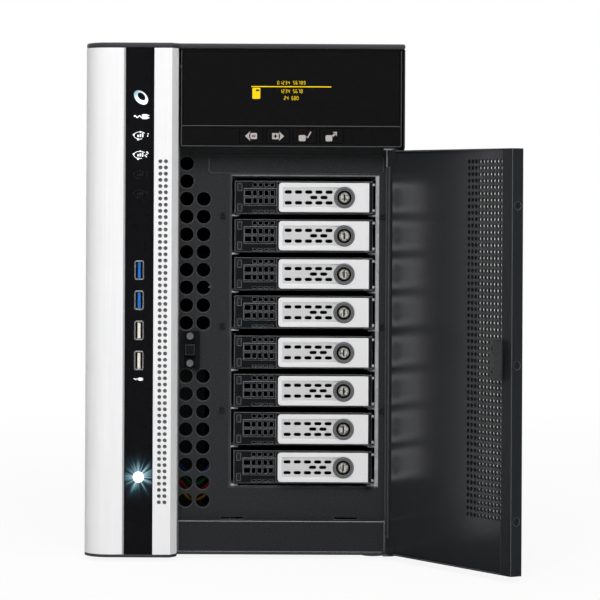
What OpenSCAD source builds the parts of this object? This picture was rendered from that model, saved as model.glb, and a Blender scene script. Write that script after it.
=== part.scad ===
// Eight-bay tower enclosure for network storage, with its front door standing open.
// X runs to the right, Y into the depth and Z up; the origin is the middle of the footprint, on the ground.

/* [Case] */
// Overall width of the case
case_w = 241; // [240:1:300]
// Overall depth of the case, front column to rear panel
case_d = 320; // [310:1:420]
// Thickness of the folded steel sheet
sheet_t = 1.2; // [0.8:0.1:1.6]
// Height of the feet
foot_h = 3; // [2:0.5:15]
// Diameter of the feet
foot_dia = 18; // [12:1:24]
// Thickness of the base pan
base_t = 2.2; // [1.6:0.1:4]
// Thickness of the top cover
cover_t = 4; // [3:0.5:12]
// Height from the case underside to the lowest bay
under_bay_h = 51.4; // [44:0.1:80]
// Height of the blank zone between the bays and the display
blank_h = 23.4; // [20:0.1:60]
// Depth from the closed door to the front plate behind it
plate_gap = 11.5; // [10.5:0.5:20]

/* [Front column] */
// Width of the column
col_w = 70; // [66:1:80]
// Radius of its left corner
col_r = 20; // [10:1:24]
// Wall of the column
col_wall = 2.5; // [2:0.1:4]
// Depth of the column's left side
col_side = 45; // [38:1:80]
// How far the column stands in front of the closed door
col_proud = 11; // [8:0.5:16]
// Width of the chamfer on its right edge
col_edge_w = 4.4; // [1:0.1:5]
// Depth of that chamfer
col_edge_d = 8; // [2:0.5:10]
// Width of the control strip
strip_w = 21.6; // [17:0.1:26]
// Thickness of the control strip
strip_t = 2.5; // [2:0.1:3.5]
// From the column's left side to the control strip
strip_off = 30.6; // [26:0.1:32]
// Diameter of the punched vents in column and door
vent_dia = 3; // [1.5:0.1:3.4]
// Spacing of the vents across
vent_step_x = 4.2; // [4:0.1:6]
// Spacing of the vents up and down
vent_step_z = 4.66; // [4.2:0.02:8]

/* [Display] */
// Height of the display panel
display_h = 74; // [64:1:100]
// Height of the key row under the display window
key_row_h = 16.5; // [14:0.5:24]
// Width of a menu key
key_w = 17.4; // [12:0.1:19]
// Height of a menu key
key_h = 11; // [8:0.1:12]
// Spacing of the menu keys
key_step = 20.2; // [20:0.1:24]

/* [Bays] */
// Spacing of the bays
bay_pitch = 29.1; // [28.5:0.1:40]
// Extra room between the upper and the lower half of the bays
bay_mid_gap = 1.4; // [0:0.1:6]
// Width of the drive that a tray holds
drive_w = 101.6; // [101.6:0.1:102.4]
// Length of a tray behind its bezel
tray_l = 178; // [160:1:200]
// Running gap around a tray
slide_gap = 0.4; // [0.3:0.05:0.8]
// Length of a lever
lever_l = 70.6; // [58:0.1:72]
// Thickness of a lever
lever_t = 5; // [4:0.1:6]
// Outer diameter of the lock collar
lock_dia = 16; // [12:0.1:19.2]
// Diameter of the lever's hinge pin
pin_dia = 2; // [1.5:0.1:2.6]

/* [Door] */
// Angle at which the door stands open
door_open = 122; // [0:1:135]
// Thickness of the door
door_t = 9.5; // [8:0.1:13]
// Width of the lip along the free edge
door_lip_w = 12.5; // [9:0.5:15]
// Diameter of the door's hinge pins
hinge_dia = 3; // [2:0.1:4]

/* [Vent plate] */
// Diameter of the large round vents
hole_dia = 10.3; // [8:0.1:11]
// Spacing of the large vents
hole_step = 13.5; // [12.5:0.1:18]

/* [Inside] */
// Side of a rear fan
fan_side = 92; // [80:1:96]
// Thickness of a rear fan
fan_t = 25; // [15:1:26]
// Width of the power supply
psu_w = 84; // [70:1:86]
// Height of the power supply
psu_h = 150; // [125:1:160]
// Depth of the power supply
psu_d = 140; // [110:1:160]
// Side of the main board
board_side = 170; // [150:1:172]

/* [Hidden] */

$fn = 48;
bay_count = 8;
key_count = 4;
// Gap between pieces that move past each other, and the overshoot of a cut
gap = 0.4;
cut = 1;

// Outer planes of the case
x_left = -case_w / 2;
x_right = case_w / 2;
y_front = -case_d / 2;
y_back = case_d / 2;
z_base = foot_h;
z_floor = z_base + base_t;
z_bay_0 = z_base + under_bay_h;
z_bay_1 = z_bay_0 + bay_count * bay_pitch + bay_mid_gap;
z_disp = z_bay_1 + blank_h;
z_top = z_disp + display_h;
case_h = z_top + cover_t;
x_col = x_left + col_w;
x_wall = x_right - sheet_t;

// Places of the feet
foot_x = case_w / 2 - foot_dia - 4;

// Planes behind the front
y_face = y_front + col_proud;
y_inner = y_face + door_t;
y_plate = y_inner + plate_gap;
y_plate_back = y_plate + sheet_t;
y_cover = y_inner + 1.5;
y_flange = y_plate - 8;
y_side = y_plate - 7;
y_rear = y_back - sheet_t;
foot_y = [y_plate + foot_dia, y_back - foot_dia - 10];

// Cage and trays, set from the right wall
rail_t = 1.6;
rail_flange = 1.5;
drive_room = drive_w + 0.8;
tray_w = drive_room + 2 * (rail_t + rail_flange);
cage_in = tray_w + 2 * slide_gap;
cage_x1 = x_wall - 20.2;
cage_x0 = cage_x1 - cage_in;
bay_x = (cage_x0 + cage_x1) / 2;
ledge_w = 5.5;
ledge_t = sheet_t;
cage_flange = 3.2;
open_margin = 2.7;
y_cage = y_plate_back;
tray_gap_z = 0.3;
tray_h = bay_pitch - ledge_t - 2 * tray_gap_z;

// Tray bezel, written about the middle of its bay
bezel_w = tray_w - 4;
bezel_h = bay_pitch - ledge_t - 3.2;
bezel_front = 3;
bezel_t = 10;
y_bezel = y_plate - bezel_front;
y_bezel_back = y_bezel + bezel_t;
bezel_x0 = bay_x - bezel_w / 2;
bezel_x1 = bay_x + bezel_w / 2;
pocket_depth = 4;
y_pocket = y_bezel + pocket_depth;
tray_floor_t = 1.2;
y_tray_back = y_bezel_back + tray_l;

// Lever and its hinge
lever_r = lever_t / 2;
lever_x1 = bezel_x1 - 0.2;
hinge_x = lever_x1 - lever_r;
lever_x0 = lever_x1 - lever_l - lever_r + 2;
lever_h = bezel_h - 2.4;
y_lever = y_bezel - lever_t + 0.4;
y_lever_back = y_lever + lever_t;
hinge_y = y_lever + lever_r;
lever_gap = 0.3;
run_fit = 0.06;
corner_r = 2.4;
panel_in = 3;
panel_deep = 0.5;
slot_l = 5.4;
slot_h = 2.6;
slot_step = 7.75;
slot_row = 4.1;
slot_first = 7.2;
slot_cols = 5;
finger_h = 2;
finger_z = lever_h / 2 - 1.3;

// Lock, on the lever to the right of the slots
lock_r = lock_dia / 2;
lock_x = hinge_x - 18.8;
barrel_r = lock_r - 2.6;
collar_t = 1.4;
collar_sunk = 0.6;
cam_t = 1.2;
cam_l = 7;

// Grille of the tray bezel
grille_x0 = bezel_x0 + 7.5;
grille_first_w = 5;
grille_bar = 1.1;
grille_w = 3;
grille_step = 4.4;
grille_h = 3.9;
grille_mid = 0.3;
grille_row = 3;
grille_cols = 4;
grille_top = [bezel_h / 2 - 4.2, bezel_h / 2 - 1.5];
grille_low = [1.1 - bezel_h / 2, 2.4 - bezel_h / 2];
pad_proud = 0.8;
pad_row = 3.3;
pad_h = grille_h + 2.4;
pad_x0 = bezel_x0 + 6.9;
pad_x1 = bezel_x0 + 31.6;
lamp_x = bezel_x0 + 3.6;
lamp_w = 3;
lamp_h = 5.5;
lamp_z = 7.7;

// Door in its closed place, from the hinge axis at the right to the free edge at the left
hinge_pin_x = x_right - 10.1;
hinge_pin_y = y_inner - 3.5;
door_x0 = x_col + 0.6;
door_x1 = hinge_pin_x - 1.7;
door_x2 = x_wall - 0.1;
door_z0 = z_base + 1.6;
door_z1 = z_disp - 2.2;
door_sheet = 1;
liner_sunk = 1.5;
y_liner = y_inner - liner_sunk;
flange_x1 = hinge_pin_x - 2.1;
flange_x0 = flange_x1 - sheet_t;
bracket_x0 = hinge_pin_x - 5.5;
bracket_h = 14;
bracket_low = door_z0 - gap - sheet_t;
bracket_high = door_z1 + gap;
pivot_r = 2.8;
pivot_w = 9.5;
pivot_h = 12;
door_vent_cols = 10;
skin_vent_cols = 9;
door_vent_off = 15.7;
door_vent_step = vent_step_x + 0.2;
screw_r = 2.8;
screw_t = 1.5;
cross_recess = [2.8, 1.6, 0.7];
shank_r = 1.5;
shank_l = 4;
shank_hole_r = shank_r + 0.1;

// Rows of small vents, shared by column and door
vent_z0 = door_z0 + 39.8;
vent_rows = floor((door_z1 - 9 - vent_z0) / vent_step_z) + 1;
col_vent_cols = 2;
col_vent_x = x_col - 13.1;

// Large vents of the front plate, counted down from the top
hole_x0 = x_col + 5.7;
hole_step_x = 13;
hole_z1 = z_disp - 12.4;
hole_rows = floor((hole_z1 - z_floor - 36) / hole_step) + 1;
hole_bevel = 0.6;
latch_row = 10;
latch_rows = 2;
latch_z = hole_z1 - (latch_row + 0.5) * hole_step;
latch_h = (latch_rows + 1) * hole_step - hole_dia - 1.6;
latch_x0 = x_col + 1.6;
latch_w = 14.4;
latch_ridge = 3.2;
latch_proud = 5;
latch_floor = 1.6;
latch_screw = latch_h / 2 - 4;
plunger_w = latch_w - 2 * latch_ridge - 2 * gap;
plunger_h = 8;
plunger_x = latch_x0 + latch_w / 2;
y_latch = y_plate - latch_proud;
y_plunger = y_latch - 1.2;

// Lower cover, and the tab slots above it
lower_z1 = z_floor + 23.3;
tab_w = 18;

// Control strip and what stands in it
strip_x0 = x_left + strip_off;
strip_x1 = strip_x0 + strip_w;
strip_x = (strip_x0 + strip_x1) / 2;
strip_sunk = 0.4;
channel_deep = strip_sunk + strip_t;
y_strip = y_front + strip_sunk;
y_web = y_front + channel_deep;
web_t = 2;
usb_step = 22.6;
usb_count = 4;
usb_z1 = z_top - 167.3;
usb_w = 5.12;
usb_h = 12.5;
usb_wall = 0.5;
usb_lip = 1.05;
usb_corner = 1.7;
usb_deep = 14;
usb_tongue_t = 2;
usb_slack = 0.4;
button_z = z_base + 60.3;
button_r = 3.9;
button_travel = 1.2;
stem_r = 2;
switch_t = 3;
y_board = y_web + web_t + 6;
board_t = 1.6;

// Display panel
disp_x0 = x_col + 1.6;
disp_x1 = x_wall - 1.1;
window_z0 = z_disp + key_row_h;
window_margin = 2;
window_t = 1.6;
bezel_face = 3;
frame_wall = 1.6;
disp_deep = door_t;
key_x0 = x_col + 54.9;
key_z = z_disp + key_row_h / 2;
oled_x0 = key_x0 - 4;
oled_w = 66;
oled_h = 17;
oled_z = window_z0 + 28;

// Inside
y_cage_back = y_tray_back + 8;
divider_x1 = cage_x0;
divider_x0 = divider_x1 - sheet_t;
fan_x = bay_x;
fan_mid = (z_bay_0 + z_bay_1) / 2;
fan_off = fan_side / 2 + 6;
y_fan = y_rear - fan_t;
fan_bore = fan_side / 2 - 1.5;
fan_hub = 17;
fan_blades = 7;
shaft_r = 1.5;
psu_x0 = x_left + sheet_t + gap;
psu_x1 = psu_x0 + psu_w;
psu_z1 = z_floor + psu_h;
y_psu = y_rear - psu_d;
psu_wall = 1;
inlet_w = 27;
inlet_h = 20;
inlet_z = z_floor + 24;
switch_w = 13;
switch_half = 8.6;
switch_z = inlet_z + 28;
switch_x = psu_x0 + 26;
inlet_x = switch_x;
rocker_r = 8.2;
rocker_tilt = 9;
y_rocker = y_rear - 1;
standoff = 5;
board_x1 = divider_x0 - standoff;
board_x0 = board_x1 - board_t;
y_mb = y_rear - 2 - board_side;
mb_z0 = psu_z1 + 16;
mb_z1 = mb_z0 + board_side;
port_out = 0.8;
port_deep = 16;
lan_h = 13.6;
lan_w = 16;
lan_z = [mb_z0 + 40, mb_z0 + 60];
usb_stack_z = [mb_z0 + 84, mb_z0 + 104];
stack_w = 14.6;
stack_h = 15.6;
lan_wall = 2.6;
lan_room = 11.8;
serial_z = mb_z0 + 132;
serial_w = 31;
serial_h = 12.6;
shield_x = [board_x0 - 19, board_x0 + 1];
shield_z = [lan_z[0] - 14, serial_z + 21];

// Screws of the front plate
plate_screw_z = [bay_z(1) - 14, bay_z(4) - 11, bay_z(7) + 14];
plate_screw_x = [cage_x0 - 7, (cage_x1 + open_margin + flange_x0) / 2];
plate_screw_r = 2.2;

// Fittings of the door
door_screw_y = (y_face + y_inner) / 2;
door_boss = [6, 8];
door_screw_z = [door_z0 + 39, latch_z - 3, door_z1 - 41];
latch_foot_x = [door_x0 + door_lip_w + 1.6, door_x0 + door_lip_w + 15];
latch_foot_screw = [latch_foot_x[1] - 5, latch_h / 2 - 6];

// Screw pattern under a drive of the common size
drive_hole_x = 95.25 / 2;
drive_hole_r = 1.9;
y_drive = y_bezel_back + 18;
drive_hole_y = [y_drive + 41.3, y_drive + 41.3 + 44.45];
tray_windows = [[y_bezel_back + 12, drive_hole_y[0] - 8], [drive_hole_y[0] + 8, drive_hole_y[1] - 8],
    [drive_hole_y[1] + 8, y_tray_back - 8]];

// Slot blank and screws of the rear panel
slot_blank = [[board_x0 - 34, board_x0 - 20], [mb_z0 + 26, mb_z0 + 140]];
psu_screws = [for (x = [psu_x0 + 4, psu_x1 - 4], z = [z_floor + 50, psu_z1 - 6]) [x, z]];
rear_screws = concat(
    [for (x = [x_left + 6, x_right - 6], z = [z_floor + 10, z_disp - 20, z_top - 8]) [x, z]],
    [for (i = [1, 2], sx = [-1, 1], sz = [-1, 1])
        [fan_x + sx * (fan_side / 2 - 4.75), fan_z(i) + sz * (fan_side / 2 - 4.75)]],
    psu_screws,
    [[(slot_blank[0][0] + slot_blank[0][1]) / 2, slot_blank[1][1] + 5]]
);

// Route of the leads behind the front plate, from the socket board to the main board, in round numbers
lead_start = [strip_x + 10, y_board + board_t, 60];
lead_end = [board_x0, y_mb + 20, mb_z0 + 12];
lead_run = [divider_x0, y_plate, 0];
lead_r = 1.1;
lead_count = 4;

// Middle height of a bay, counted from the top
function bay_z(i) = z_bay_1 - (i - 0.5) * bay_pitch - (i > bay_count / 2 ? bay_mid_gap : 0);

// Middle height of a fan
function fan_z(i) = fan_mid + (i == 1 ? fan_off : -fan_off);

// A block between two corners
module block(x, y, z) {
    translate([x[0], y[0], z[0]]) cube([x[1] - x[0], y[1] - y[0], z[1] - z[0]]);
}

// A flat outline drawn in X and Z, made solid from y[0] to y[1]
module along_y(y) {
    translate([0, y[1], 0]) rotate([90, 0, 0]) linear_extrude(y[1] - y[0]) children();
}

// A flat outline drawn in Y and Z, made solid from x[0] to x[1]
module along_x(x) {
    translate([x[0], 0, 0]) rotate([90, 0, 90]) linear_extrude(x[1] - x[0]) children();
}

// A flat outline drawn in X and Y, made solid from z[0] to z[1]
module along_z(z) {
    translate([0, 0, z[0]]) linear_extrude(z[1] - z[0]) children();
}

// A flat rectangle between two corners
module box2(x, y) {
    translate([x[0], y[0]]) square([x[1] - x[0], y[1] - y[0]]);
}

// A flat rectangle with round corners
module round2(x, y, r) {
    box2([x[0] + r, x[1] - r], y);
    box2(x, [y[0] + r, y[1] - r]);
    for (cx = [x[0] + r, x[1] - r], cy = [y[0] + r, y[1] - r]) translate([cx, cy]) circle(r);
}

// A slot with round ends, lying along X
module slot2(x, z, l, h) {
    translate([x, z]) {
        square([l - h, h], center = true);
        for (s = [-1, 1]) translate([s * (l - h) / 2, 0]) circle(h / 2);
    }
}

// A grid of round holes, as a flat outline
module grid2(x0, z0, dx, dz, cols, rows, d) {
    for (i = [0:cols - 1], j = [0:rows - 1]) translate([x0 + i * dx, z0 + j * dz]) circle(d = d, $fn = 24);
}

// A round bar along Y
module bar_y(x, z, y, r) {
    translate([x, y[1], z]) rotate([90, 0, 0]) cylinder(r = r, h = y[1] - y[0]);
}

// A screw with a cross recess, its head on the plane y and facing the front
module screw_front(x, y, z, head = screw_r, l = shank_l) {
    difference() {
        union() {
            bar_y(x, z, [y - screw_t, y], head);
            bar_y(x, z, [y, y + l], shank_r);
        }
        for (a = [0, 90])
            translate([x, y - screw_t, z]) rotate([0, a, 0]) cube(cross_recess, center = true);
    }
}

// The same screw facing the rear
module screw_rear(x, y, z, head = screw_r, l = shank_l) {
    translate([x, y, z]) rotate([0, 0, 180]) translate([-x, -y, -z]) screw_front(x, y, z, head, l);
}

// The plan of the case: the column's round corner at the left, stepped back beside it
module plan2(y_step) {
    column2(0, y_back);
    box2([x_col - cut, x_right], [y_step, y_back]);
}

module chassis_base() {
    flange_h = 12;
    inside = [x_left + sheet_t, x_wall];
    color("#1c1d1f") {
        along_z([z_base, z_floor]) difference() {
            plan2(y_cover);
            box2([bracket_x0, x_right + cut], [y_cover - cut, y_plate]);
        }
        for (x = [inside[0], inside[1] - sheet_t])
            block([x, x + sheet_t], [y_front + col_side + 4, y_psu - 4], [z_floor, z_floor + flange_h]);
    }
}

module feet() {
    color("#101010")
        for (x = [-foot_x, foot_x], y = foot_y) translate([x, y, 0]) cylinder(d = foot_dia, h = foot_h);
}

// Rows of the large vents: the right column starts two rows lower, and both leave room for the latch
function has_hole(i, k) = (k < latch_row || k >= latch_row + latch_rows) && (i == 0 || k >= 2);

module front_plate() {
    blank_x = [cage_x0 - 17.6, cage_x1 + open_margin + 3];
    blank_z = [z_bay_1 + open_margin + 1, z_disp - 6];
    color("#202123") difference() {
        union() {
            along_y([y_plate, y_plate_back]) difference() {
                box2([x_col + gap, x_wall - 0.2], [z_floor, z_disp + 14]);
                box2([divider_x0 - 0.2, cage_x1 + open_margin], [z_bay_0 - 1, z_bay_1 + open_margin]);
                for (x = plate_screw_x, z = plate_screw_z) translate([x, z]) circle(shank_hole_r);
                for (s = [-1, 1]) translate([plunger_x, latch_z + s * latch_screw]) circle(shank_hole_r);
                box2(
                    [plunger_x - plunger_w / 2 - gap, plunger_x + plunger_w / 2 + gap],
                    [latch_z - plunger_h / 2 - gap, latch_z + plunger_h / 2 + gap]
                );
                for (x = [cage_x0 - 8, cage_x0 + 79])
                    box2([x, x + tab_w], [lower_z1 + 0.4, lower_z1 + 2]);
            }
            along_y([y_plate - 0.8, y_plate]) round2(blank_x, blank_z, 3);
            block([flange_x0, flange_x1], [y_flange, y_plate],
                [bracket_low + bracket_h + gap, bracket_high + sheet_t - bracket_h - gap]);
        }
        for (i = [0, 1], k = [0:hole_rows - 1]) if (has_hole(i, k))
            translate([hole_x0 + i * hole_step_x, y_plate, hole_z1 - k * hole_step]) rotate([-90, 0, 0]) {
                translate([0, 0, -cut]) cylinder(d = hole_dia, h = sheet_t + 2 * cut);
                cylinder(d1 = hole_dia + 2 * hole_bevel, d2 = hole_dia, h = hole_bevel);
            }
    }
}

module lower_cover() {
    x = [x_col + gap, flange_x0 - gap];
    color("#232426") {
        along_x(x) {
            box2([y_cover, y_cover + sheet_t], [z_floor, lower_z1]);
            box2([y_cover, y_plate], [lower_z1 - sheet_t, lower_z1]);
        }
    }
}

module drive_cage() {
    color("#b9bdc0") union() {
        along_y([y_cage, y_cage_back]) {
            for (x = [divider_x0, cage_x1]) box2([x, x + sheet_t], [z_floor, z_bay_1 + sheet_t]);
            box2([divider_x0, cage_x1 + sheet_t], [z_bay_0 - sheet_t, z_bay_0]);
            box2([divider_x0, cage_x1 + sheet_t], [z_bay_1, z_bay_1 + sheet_t]);
            for (i = [1:bay_count]) {
                z = bay_z(i) - bay_pitch / 2;
                box2([cage_x0 - sheet_t / 2, cage_x0 + ledge_w], [z, z + ledge_t]);
                box2([cage_x1 - ledge_w, cage_x1 + sheet_t / 2], [z, z + ledge_t]);
            }
        }
        along_y([y_cage, y_cage + sheet_t]) {
            box2([cage_x1, cage_x1 + cage_flange], [z_bay_0 - sheet_t, z_bay_1 + cage_flange]);
            box2([divider_x0, cage_x1 + cage_flange], [z_bay_1, z_bay_1 + cage_flange]);
        }
        block([divider_x0, divider_x1], [y_cage_back - cut, y_rear], [psu_z1 + 4, mb_z1 - 4]);
    }
}

module side_panel(x, y_low, y_high) {
    color("#1d1e20") along_x(x) {
        box2([y_low, y_back], [z_floor, z_disp]);
        box2([y_high, y_back], [z_disp - cut, z_top]);
    }
}

module left_side_panel() {
    side_panel([x_left, x_left + sheet_t], y_front + col_side, y_front + col_side);
}

module right_side_panel() {
    side_panel([x_wall, x_right], y_side, y_face);
}

// Ring slots in front of a fan, left open between four spokes
module fan_grille2(x, z) {
    translate([x, z]) difference() {
        for (r = [12:7:fan_bore - 5]) difference() {
            circle(r + 5);
            circle(r);
        }
        for (a = [45, 135]) rotate(a) square([fan_side, 3.2], center = true);
    }
}

// Outline of one socket on the rear of the main board
module port2(z, w, h) {
    box2([board_x0 - h, board_x0], [z - w / 2, z + w / 2]);
}

module rear_panel() {
    color("#2a2b2d") {
        along_y([y_rear, y_back]) difference() {
            box2([x_left + sheet_t, x_wall], [z_floor, z_top]);
            for (i = [1, 2]) fan_grille2(fan_x, fan_z(i));
            box2([psu_x0 + 8, psu_x1 - 8], [z_floor + 10, psu_z1 - 10]);
            box2(shield_x + [-0.2, 0.2], shield_z + [-0.2, 0.2]);
            box2(slot_blank[0], slot_blank[1]);
            for (s = rear_screws) translate(s) circle(shank_hole_r);
        }
        along_y([y_rear - sheet_t, y_rear]) difference() {
            box2(slot_blank[0] + [-2, 2], slot_blank[1] + [-2, 10]);
            translate(rear_screws[len(rear_screws) - 1]) circle(shank_hole_r);
        }
    }
}

module top_cover() {
    brow = 2;
    rim = 3;
    y_brow = y_face - brow;
    color("#17181a") difference() {
        along_z([z_top, case_h]) plan2(y_brow);
        block([x_left + rim, x_right - rim], [y_front + col_r + rim, y_back - rim],
            [z_top - cut, case_h - sheet_t]);
    }
}

module case_screws() {
    color("#5a5c60") {
        for (x = plate_screw_x, z = plate_screw_z) screw_front(x, y_plate, z, plate_screw_r);
        for (s = [-1, 1]) screw_front(plunger_x, y_plate - latch_floor, latch_z + s * latch_screw, 2.6, 5);
        for (s = rear_screws) screw_rear(s[0], y_back, s[1]);
    }
}

module usb_places() {
    for (i = [0:usb_count - 1]) translate([strip_x, 0, usb_z1 - i * usb_step]) children();
}

module usb_cut2(grow) {
    box2(
        [-usb_w / 2 - usb_wall - grow, usb_w / 2 + usb_wall + grow],
        [-usb_h / 2 - usb_wall - grow, usb_h / 2 + usb_wall + grow]
    );
}

// Plan of the column as far back as a plane, drawn in by a wall
module column2(in, far) {
    slope = norm([col_edge_w, col_edge_d]);
    corner = [x_left, y_front] + [col_r, col_r];
    polygon([
        [corner[0], y_front + in],
        [x_col - col_edge_w - in * (slope - col_edge_w) / col_edge_d, y_front + in],
        [x_col - in, y_front + col_edge_d + in * (slope - col_edge_d) / col_edge_w],
        [x_col - in, far],
        [x_left + in, far],
        [x_left + in, corner[1]]
    ]);
    translate(corner) circle(col_r - in);
}

module front_column() {
    color("#c9cacb") difference() {
        along_z([z_floor, z_top]) difference() {
            union() {
                difference() {
                    column2(0, y_front + col_side);
                    column2(col_wall, y_front + col_side);
                    box2([x_left + col_wall, x_col - col_wall], [y_front + col_r, y_back]);
                    box2([x_col - col_wall - cut, x_col + cut], [y_plate, y_back]);
                }
                box2([strip_x0 - web_t, strip_x1 + web_t], [y_front, y_web + web_t]);
            }
            box2([strip_x0, strip_x1], [y_front - cut, y_web]);
        }
        along_y([y_front - cut, y_front + col_wall + cut])
            grid2(col_vent_x, vent_z0, vent_step_x, vent_step_z, col_vent_cols, vent_rows, vent_dia);
        usb_places() along_y([y_front, y_web + web_t + cut]) usb_cut2(0.3);
        bar_y(strip_x, button_z, [y_front, y_web + web_t + cut], stem_r + 0.3);
        bar_y(strip_x, button_z, [y_front, y_web + button_travel + 0.3], button_r + 0.3);
    }
}

module control_strip() {
    side = 0.15;
    color("#08080a") along_y([y_strip, y_strip + strip_t]) difference() {
        box2([strip_x0 + side, strip_x1 - side], [z_floor, z_top]);
        for (i = [0:usb_count - 1]) translate([strip_x, usb_z1 - i * usb_step]) usb_cut2(0.3);
        translate([strip_x, button_z]) circle(button_r + 0.3);
    }
}

// Socket board behind the column with its sockets' tongues, and the display board
module front_boards() {
    post_r = 1.8;
    switch_r = 3;
    rim = 6;
    y_post = [y_web + web_t, y_board];
    y_disp = [y_face + bezel_face, y_face + bezel_face + 4];
    color("#1f5a3c") {
        difference() {
            block([strip_x0 - 4, strip_x1 + 4], [y_board, y_board + board_t],
                [button_z - 20, usb_z1 + 130]);
            usb_places() along_y([y_board - cut, y_board + board_t + cut]) usb_cut2(0);
        }
        bar_y(strip_x, button_z, [y_board - switch_t, y_board], switch_r);
        for (x = [strip_x0, strip_x1], z = [button_z - 14, usb_z1 + 20, usb_z1 + 120])
            bar_y(x, z, y_post, post_r);
        block([oled_x0 - rim, oled_x0 + oled_w + rim], y_disp,
            [oled_z - oled_h / 2 - rim, oled_z + oled_h / 2 + rim]);
        usb_places() usb_tongue();
    }
}

// Tongue of a socket and the block that closes the back of its shell
module usb_tongue() {
    back = 4;
    y_end = y_strip + usb_deep;
    block([-usb_tongue_t / 2, usb_tongue_t / 2], [y_strip + 1, y_end],
        [usb_slack - usb_h / 2, usb_h / 2 - usb_slack]);
    block([-usb_w / 2, usb_w / 2], [y_end - back, y_end], [-usb_h / 2, usb_h / 2]);
}

module usb_shells() {
    color("#c4c6c8") usb_places() {
        along_y([y_strip - usb_wall, y_strip]) difference() {
            round2([-usb_w / 2 - usb_lip, usb_w / 2 + usb_lip], [-usb_h / 2 - usb_lip, usb_h / 2 + usb_lip],
                usb_corner);
            box2([-usb_w / 2, usb_w / 2], [-usb_h / 2, usb_h / 2]);
        }
        along_y([y_strip, y_strip + usb_deep]) difference() {
            usb_cut2(0);
            box2([-usb_w / 2, usb_w / 2], [-usb_h / 2, usb_h / 2]);
        }
    }
}

module power_button() {
    color("#e8eef6") {
        bar_y(strip_x, button_z, [y_strip, y_web], button_r);
        bar_y(strip_x, button_z, [y_web, y_board - switch_t - button_travel - 0.3], stem_r);
    }
}

module key_places2() {
    for (i = [0:key_count - 1]) translate([key_x0 + i * key_step, key_z]) children();
}

module key_cap2(grow) {
    round2([-key_w / 2 - grow, key_w / 2 + grow], [-key_h / 2 - grow, key_h / 2 + grow], 1 + grow);
}

module display_bezel() {
    x = [disp_x0, disp_x1];
    color("#0b0b0c") {
        along_y([y_face, y_face + window_t]) difference() {
            box2(x, [z_disp, z_top]);
            box2(x + [window_margin, -window_margin], [window_z0, z_top - window_margin]);
            key_places2() key_cap2(0.3);
        }
        along_y([y_face + window_t, y_face + bezel_face]) difference() {
            box2(x, [z_disp, z_top]);
            box2([oled_x0, oled_x0 + oled_w], [oled_z - oled_h / 2, oled_z + oled_h / 2]);
            key_places2() key_cap2(0.3);
        }
        along_y([y_face + bezel_face, y_face + disp_deep]) difference() {
            box2(x, [z_disp, z_top]);
            box2(x + [frame_wall, -frame_wall], [z_disp + frame_wall, z_top - frame_wall]);
        }
        block(x, [y_face + disp_deep, y_plate], [z_disp, z_disp + frame_wall]);
    }
}

module display_window() {
    side = 0.1;
    color("#050506") along_y([y_face, y_face + window_t])
        round2(
            [disp_x0 + window_margin + side, disp_x1 - window_margin - side],
            [window_z0 + side, z_top - window_margin - side], 0.6
        );
}

module menu_key(i) {
    lip_y = [y_face + bezel_face + 0.3, y_face + bezel_face + 1.3];
    color("#141416") translate([key_x0 + (i - 1) * key_step, 0, key_z]) {
        along_y([y_face, lip_y[1]]) key_cap2(0);
        along_y(lip_y) key_cap2(0.8);
    }
}

// Turns a closed door piece to where the door stands open
module open_door() {
    translate([hinge_pin_x, hinge_pin_y, 0]) rotate([0, 0, door_open])
        translate([-hinge_pin_x, -hinge_pin_y, 0]) children();
}

// Room left at the hinge corners of the door for the pivot blocks
module pivot_room(grow) {
    for (z = [[door_z0 - cut, door_z0 + pivot_h + grow], [door_z1 - pivot_h - grow, door_z1 + cut]])
        block([hinge_pin_x - pivot_w - grow, hinge_pin_x + pivot_r + cut],
            [y_face + 2 * door_sheet, y_inner + cut], z);
}

// Punched vents of the door, counted from the free edge
module door_vents2(cols) {
    grid2(door_x0 + door_vent_off, vent_z0, door_vent_step, vent_step_z, cols, vent_rows, vent_dia);
}

module door_skin() {
    x = [door_x0, door_x1];
    z = [door_z0, door_z1];
    y_in = [y_face + door_sheet, y_inner];
    color("#26272a") open_door() difference() {
        union() {
            along_y([y_face, y_in[0]]) difference() {
                box2([door_x0, door_x2], z);
                door_vents2(skin_vent_cols);
            }
            along_y(y_in) difference() {
                box2(x, z);
                box2(x + [door_sheet, -door_sheet], z + [door_sheet, -door_sheet]);
            }
            along_y([y_inner - door_sheet, y_inner]) box2([door_x0, door_x0 + door_lip_w], z);
            for (s = door_screw_z)
                block([door_x0, door_x0 + door_boss[0]], [y_face, y_inner],
                    [s - door_boss[1] / 2, s + door_boss[1] / 2]);
        }
        for (s = door_screw_z) translate([door_x0 - cut, door_screw_y, s]) rotate([0, 90, 0]) {
            cylinder(r = screw_r + 0.1, h = screw_t + cut);
            cylinder(r = shank_hole_r, h = door_boss[0] + 2 * cut);
        }
        pivot_room(0.2);
    }
}

module door_liner() {
    return_d = 3;
    x = [door_x0 + door_lip_w + 0.2, door_x1 - door_sheet];
    z = [door_z0 + door_sheet, door_z1 - door_sheet];
    color("#2b2c2f") open_door() difference() {
        union() {
            along_y([y_liner - door_sheet, y_liner]) difference() {
                box2(x, z);
                door_vents2(door_vent_cols);
                for (s = [-1, 1])
                    translate([latch_foot_screw[0], latch_z + s * latch_foot_screw[1]]) circle(shank_hole_r);
            }
            block([x[0], x[0] + door_sheet], [y_liner - return_d, y_liner - door_sheet], z);
        }
        pivot_room(0.2);
    }
}

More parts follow.
